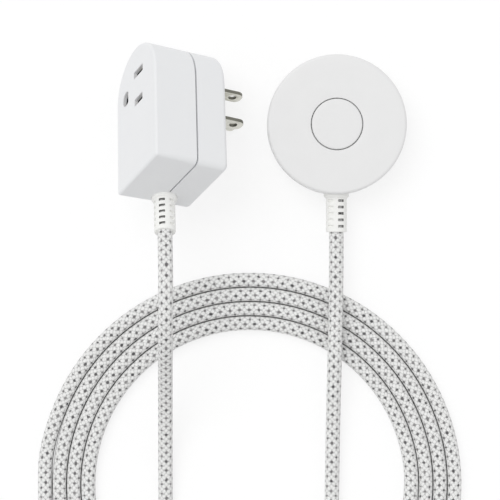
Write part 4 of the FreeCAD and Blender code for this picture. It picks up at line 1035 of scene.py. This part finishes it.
def studio():
    """A soft white surround, a broad sun from the upper left, and a white floor with shadows."""
    scene = bpy.context.scene
    scene.view_settings.view_transform = "Standard"
    sun = bpy.data.objects.new("window_light", bpy.data.lights.new("window_light", "SUN"))
    scene.collection.objects.link(sun)
    sun.data.energy = SUN_STRENGTH
    sun.data.angle = math.radians(SUN_SPREAD)
    sun.rotation_euler = Vector(SUN_FROM).to_track_quat("Z", "Y").to_euler()
    scene.world = bpy.data.worlds.new("surround")
    scene.world.use_nodes = True
    tree = scene.world.node_tree
    tree.nodes.clear()
    strength = add(tree, "MapRange", {
        "Value": seen_directly(tree), "To Min": SURROUND_STRENGTH, "To Max": 1.0,
    })
    light = add(tree, "Background", {"Color": WHITE, "Strength": strength})
    add(tree, "OutputWorld", {"Surface": light})
    bpy.ops.object.select_all(action="DESELECT")
    bpy.ops.mesh.primitive_plane_add(size=6.0, location=(0, 0, -0.02 * MM))
    floor = bpy.context.object
    floor.name = "floor"
    material, tree = new_material("white_paper_floor")
    paper = add(tree, "BsdfDiffuse", {"Color": PAPER_SHADE})
    glow = add(tree, "Emission", {"Color": WHITE, "Strength": PAPER_GLOW})
    share = add(tree, "Math", {0: seen_directly(tree), 1: PAPER_GLOW_SHARE}, operation="MULTIPLY")
    surface = add(tree, "MixShader", {0: share, 1: paper, 2: glow})
    add(tree, "OutputMaterial", {"Surface": surface})
    floor.data.materials.append(material)


def dress_inside():
    """Materials of the solid pieces that stay as they are."""
    finishes = {
        nylon: ["switch_housing", "slider", "cord_clamp"],
        polyester: ["contact_carrier"],
        phenolic: ["terminal_board"],
        brass: [
            "neutral_contact", "hot_contact", "ground_contact", "contact_bridge", "line_terminal",
            "load_terminal",
        ],
        zinc: ["case_screws", "clamp_screws", "tap_screws", "latch_wire"],
        black_insulation: ["line_wire", "tap_line_wire"],
        white_insulation: ["load_wire", "tap_load_wire"],
    }
    for material, names in finishes.items():
        for name in names:
            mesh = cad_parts[name].data
            mesh.materials.clear()
            mesh.materials.append(material)


camera()
studio()
cord, cord_path, cord_length = braided_cord()
puck_cover()
puck_base()
foot_pad()
button()
push_spring()
puck_place = Matrix.Translation(Vector(PUCK_SEAT) * MM)
tap_place = TAP @ Matrix.Translation(Vector(TAP_SEAT) * MM)
switch_relief = strain_relief("switch_sleeve", 25, puck_place, "switch_strain_relief")
tap_relief = strain_relief("tap_sleeve", 50.5, tap_place, "tap_strain_relief")
front = tap_front()
rear = tap_rear()
neutral = blade("neutral_prong", UPPER_LINE, "neutral_blade")
hot = blade("hot_prong", LOWER_LINE, "hot_blade")
ground = ground_pin()
dress_inside()
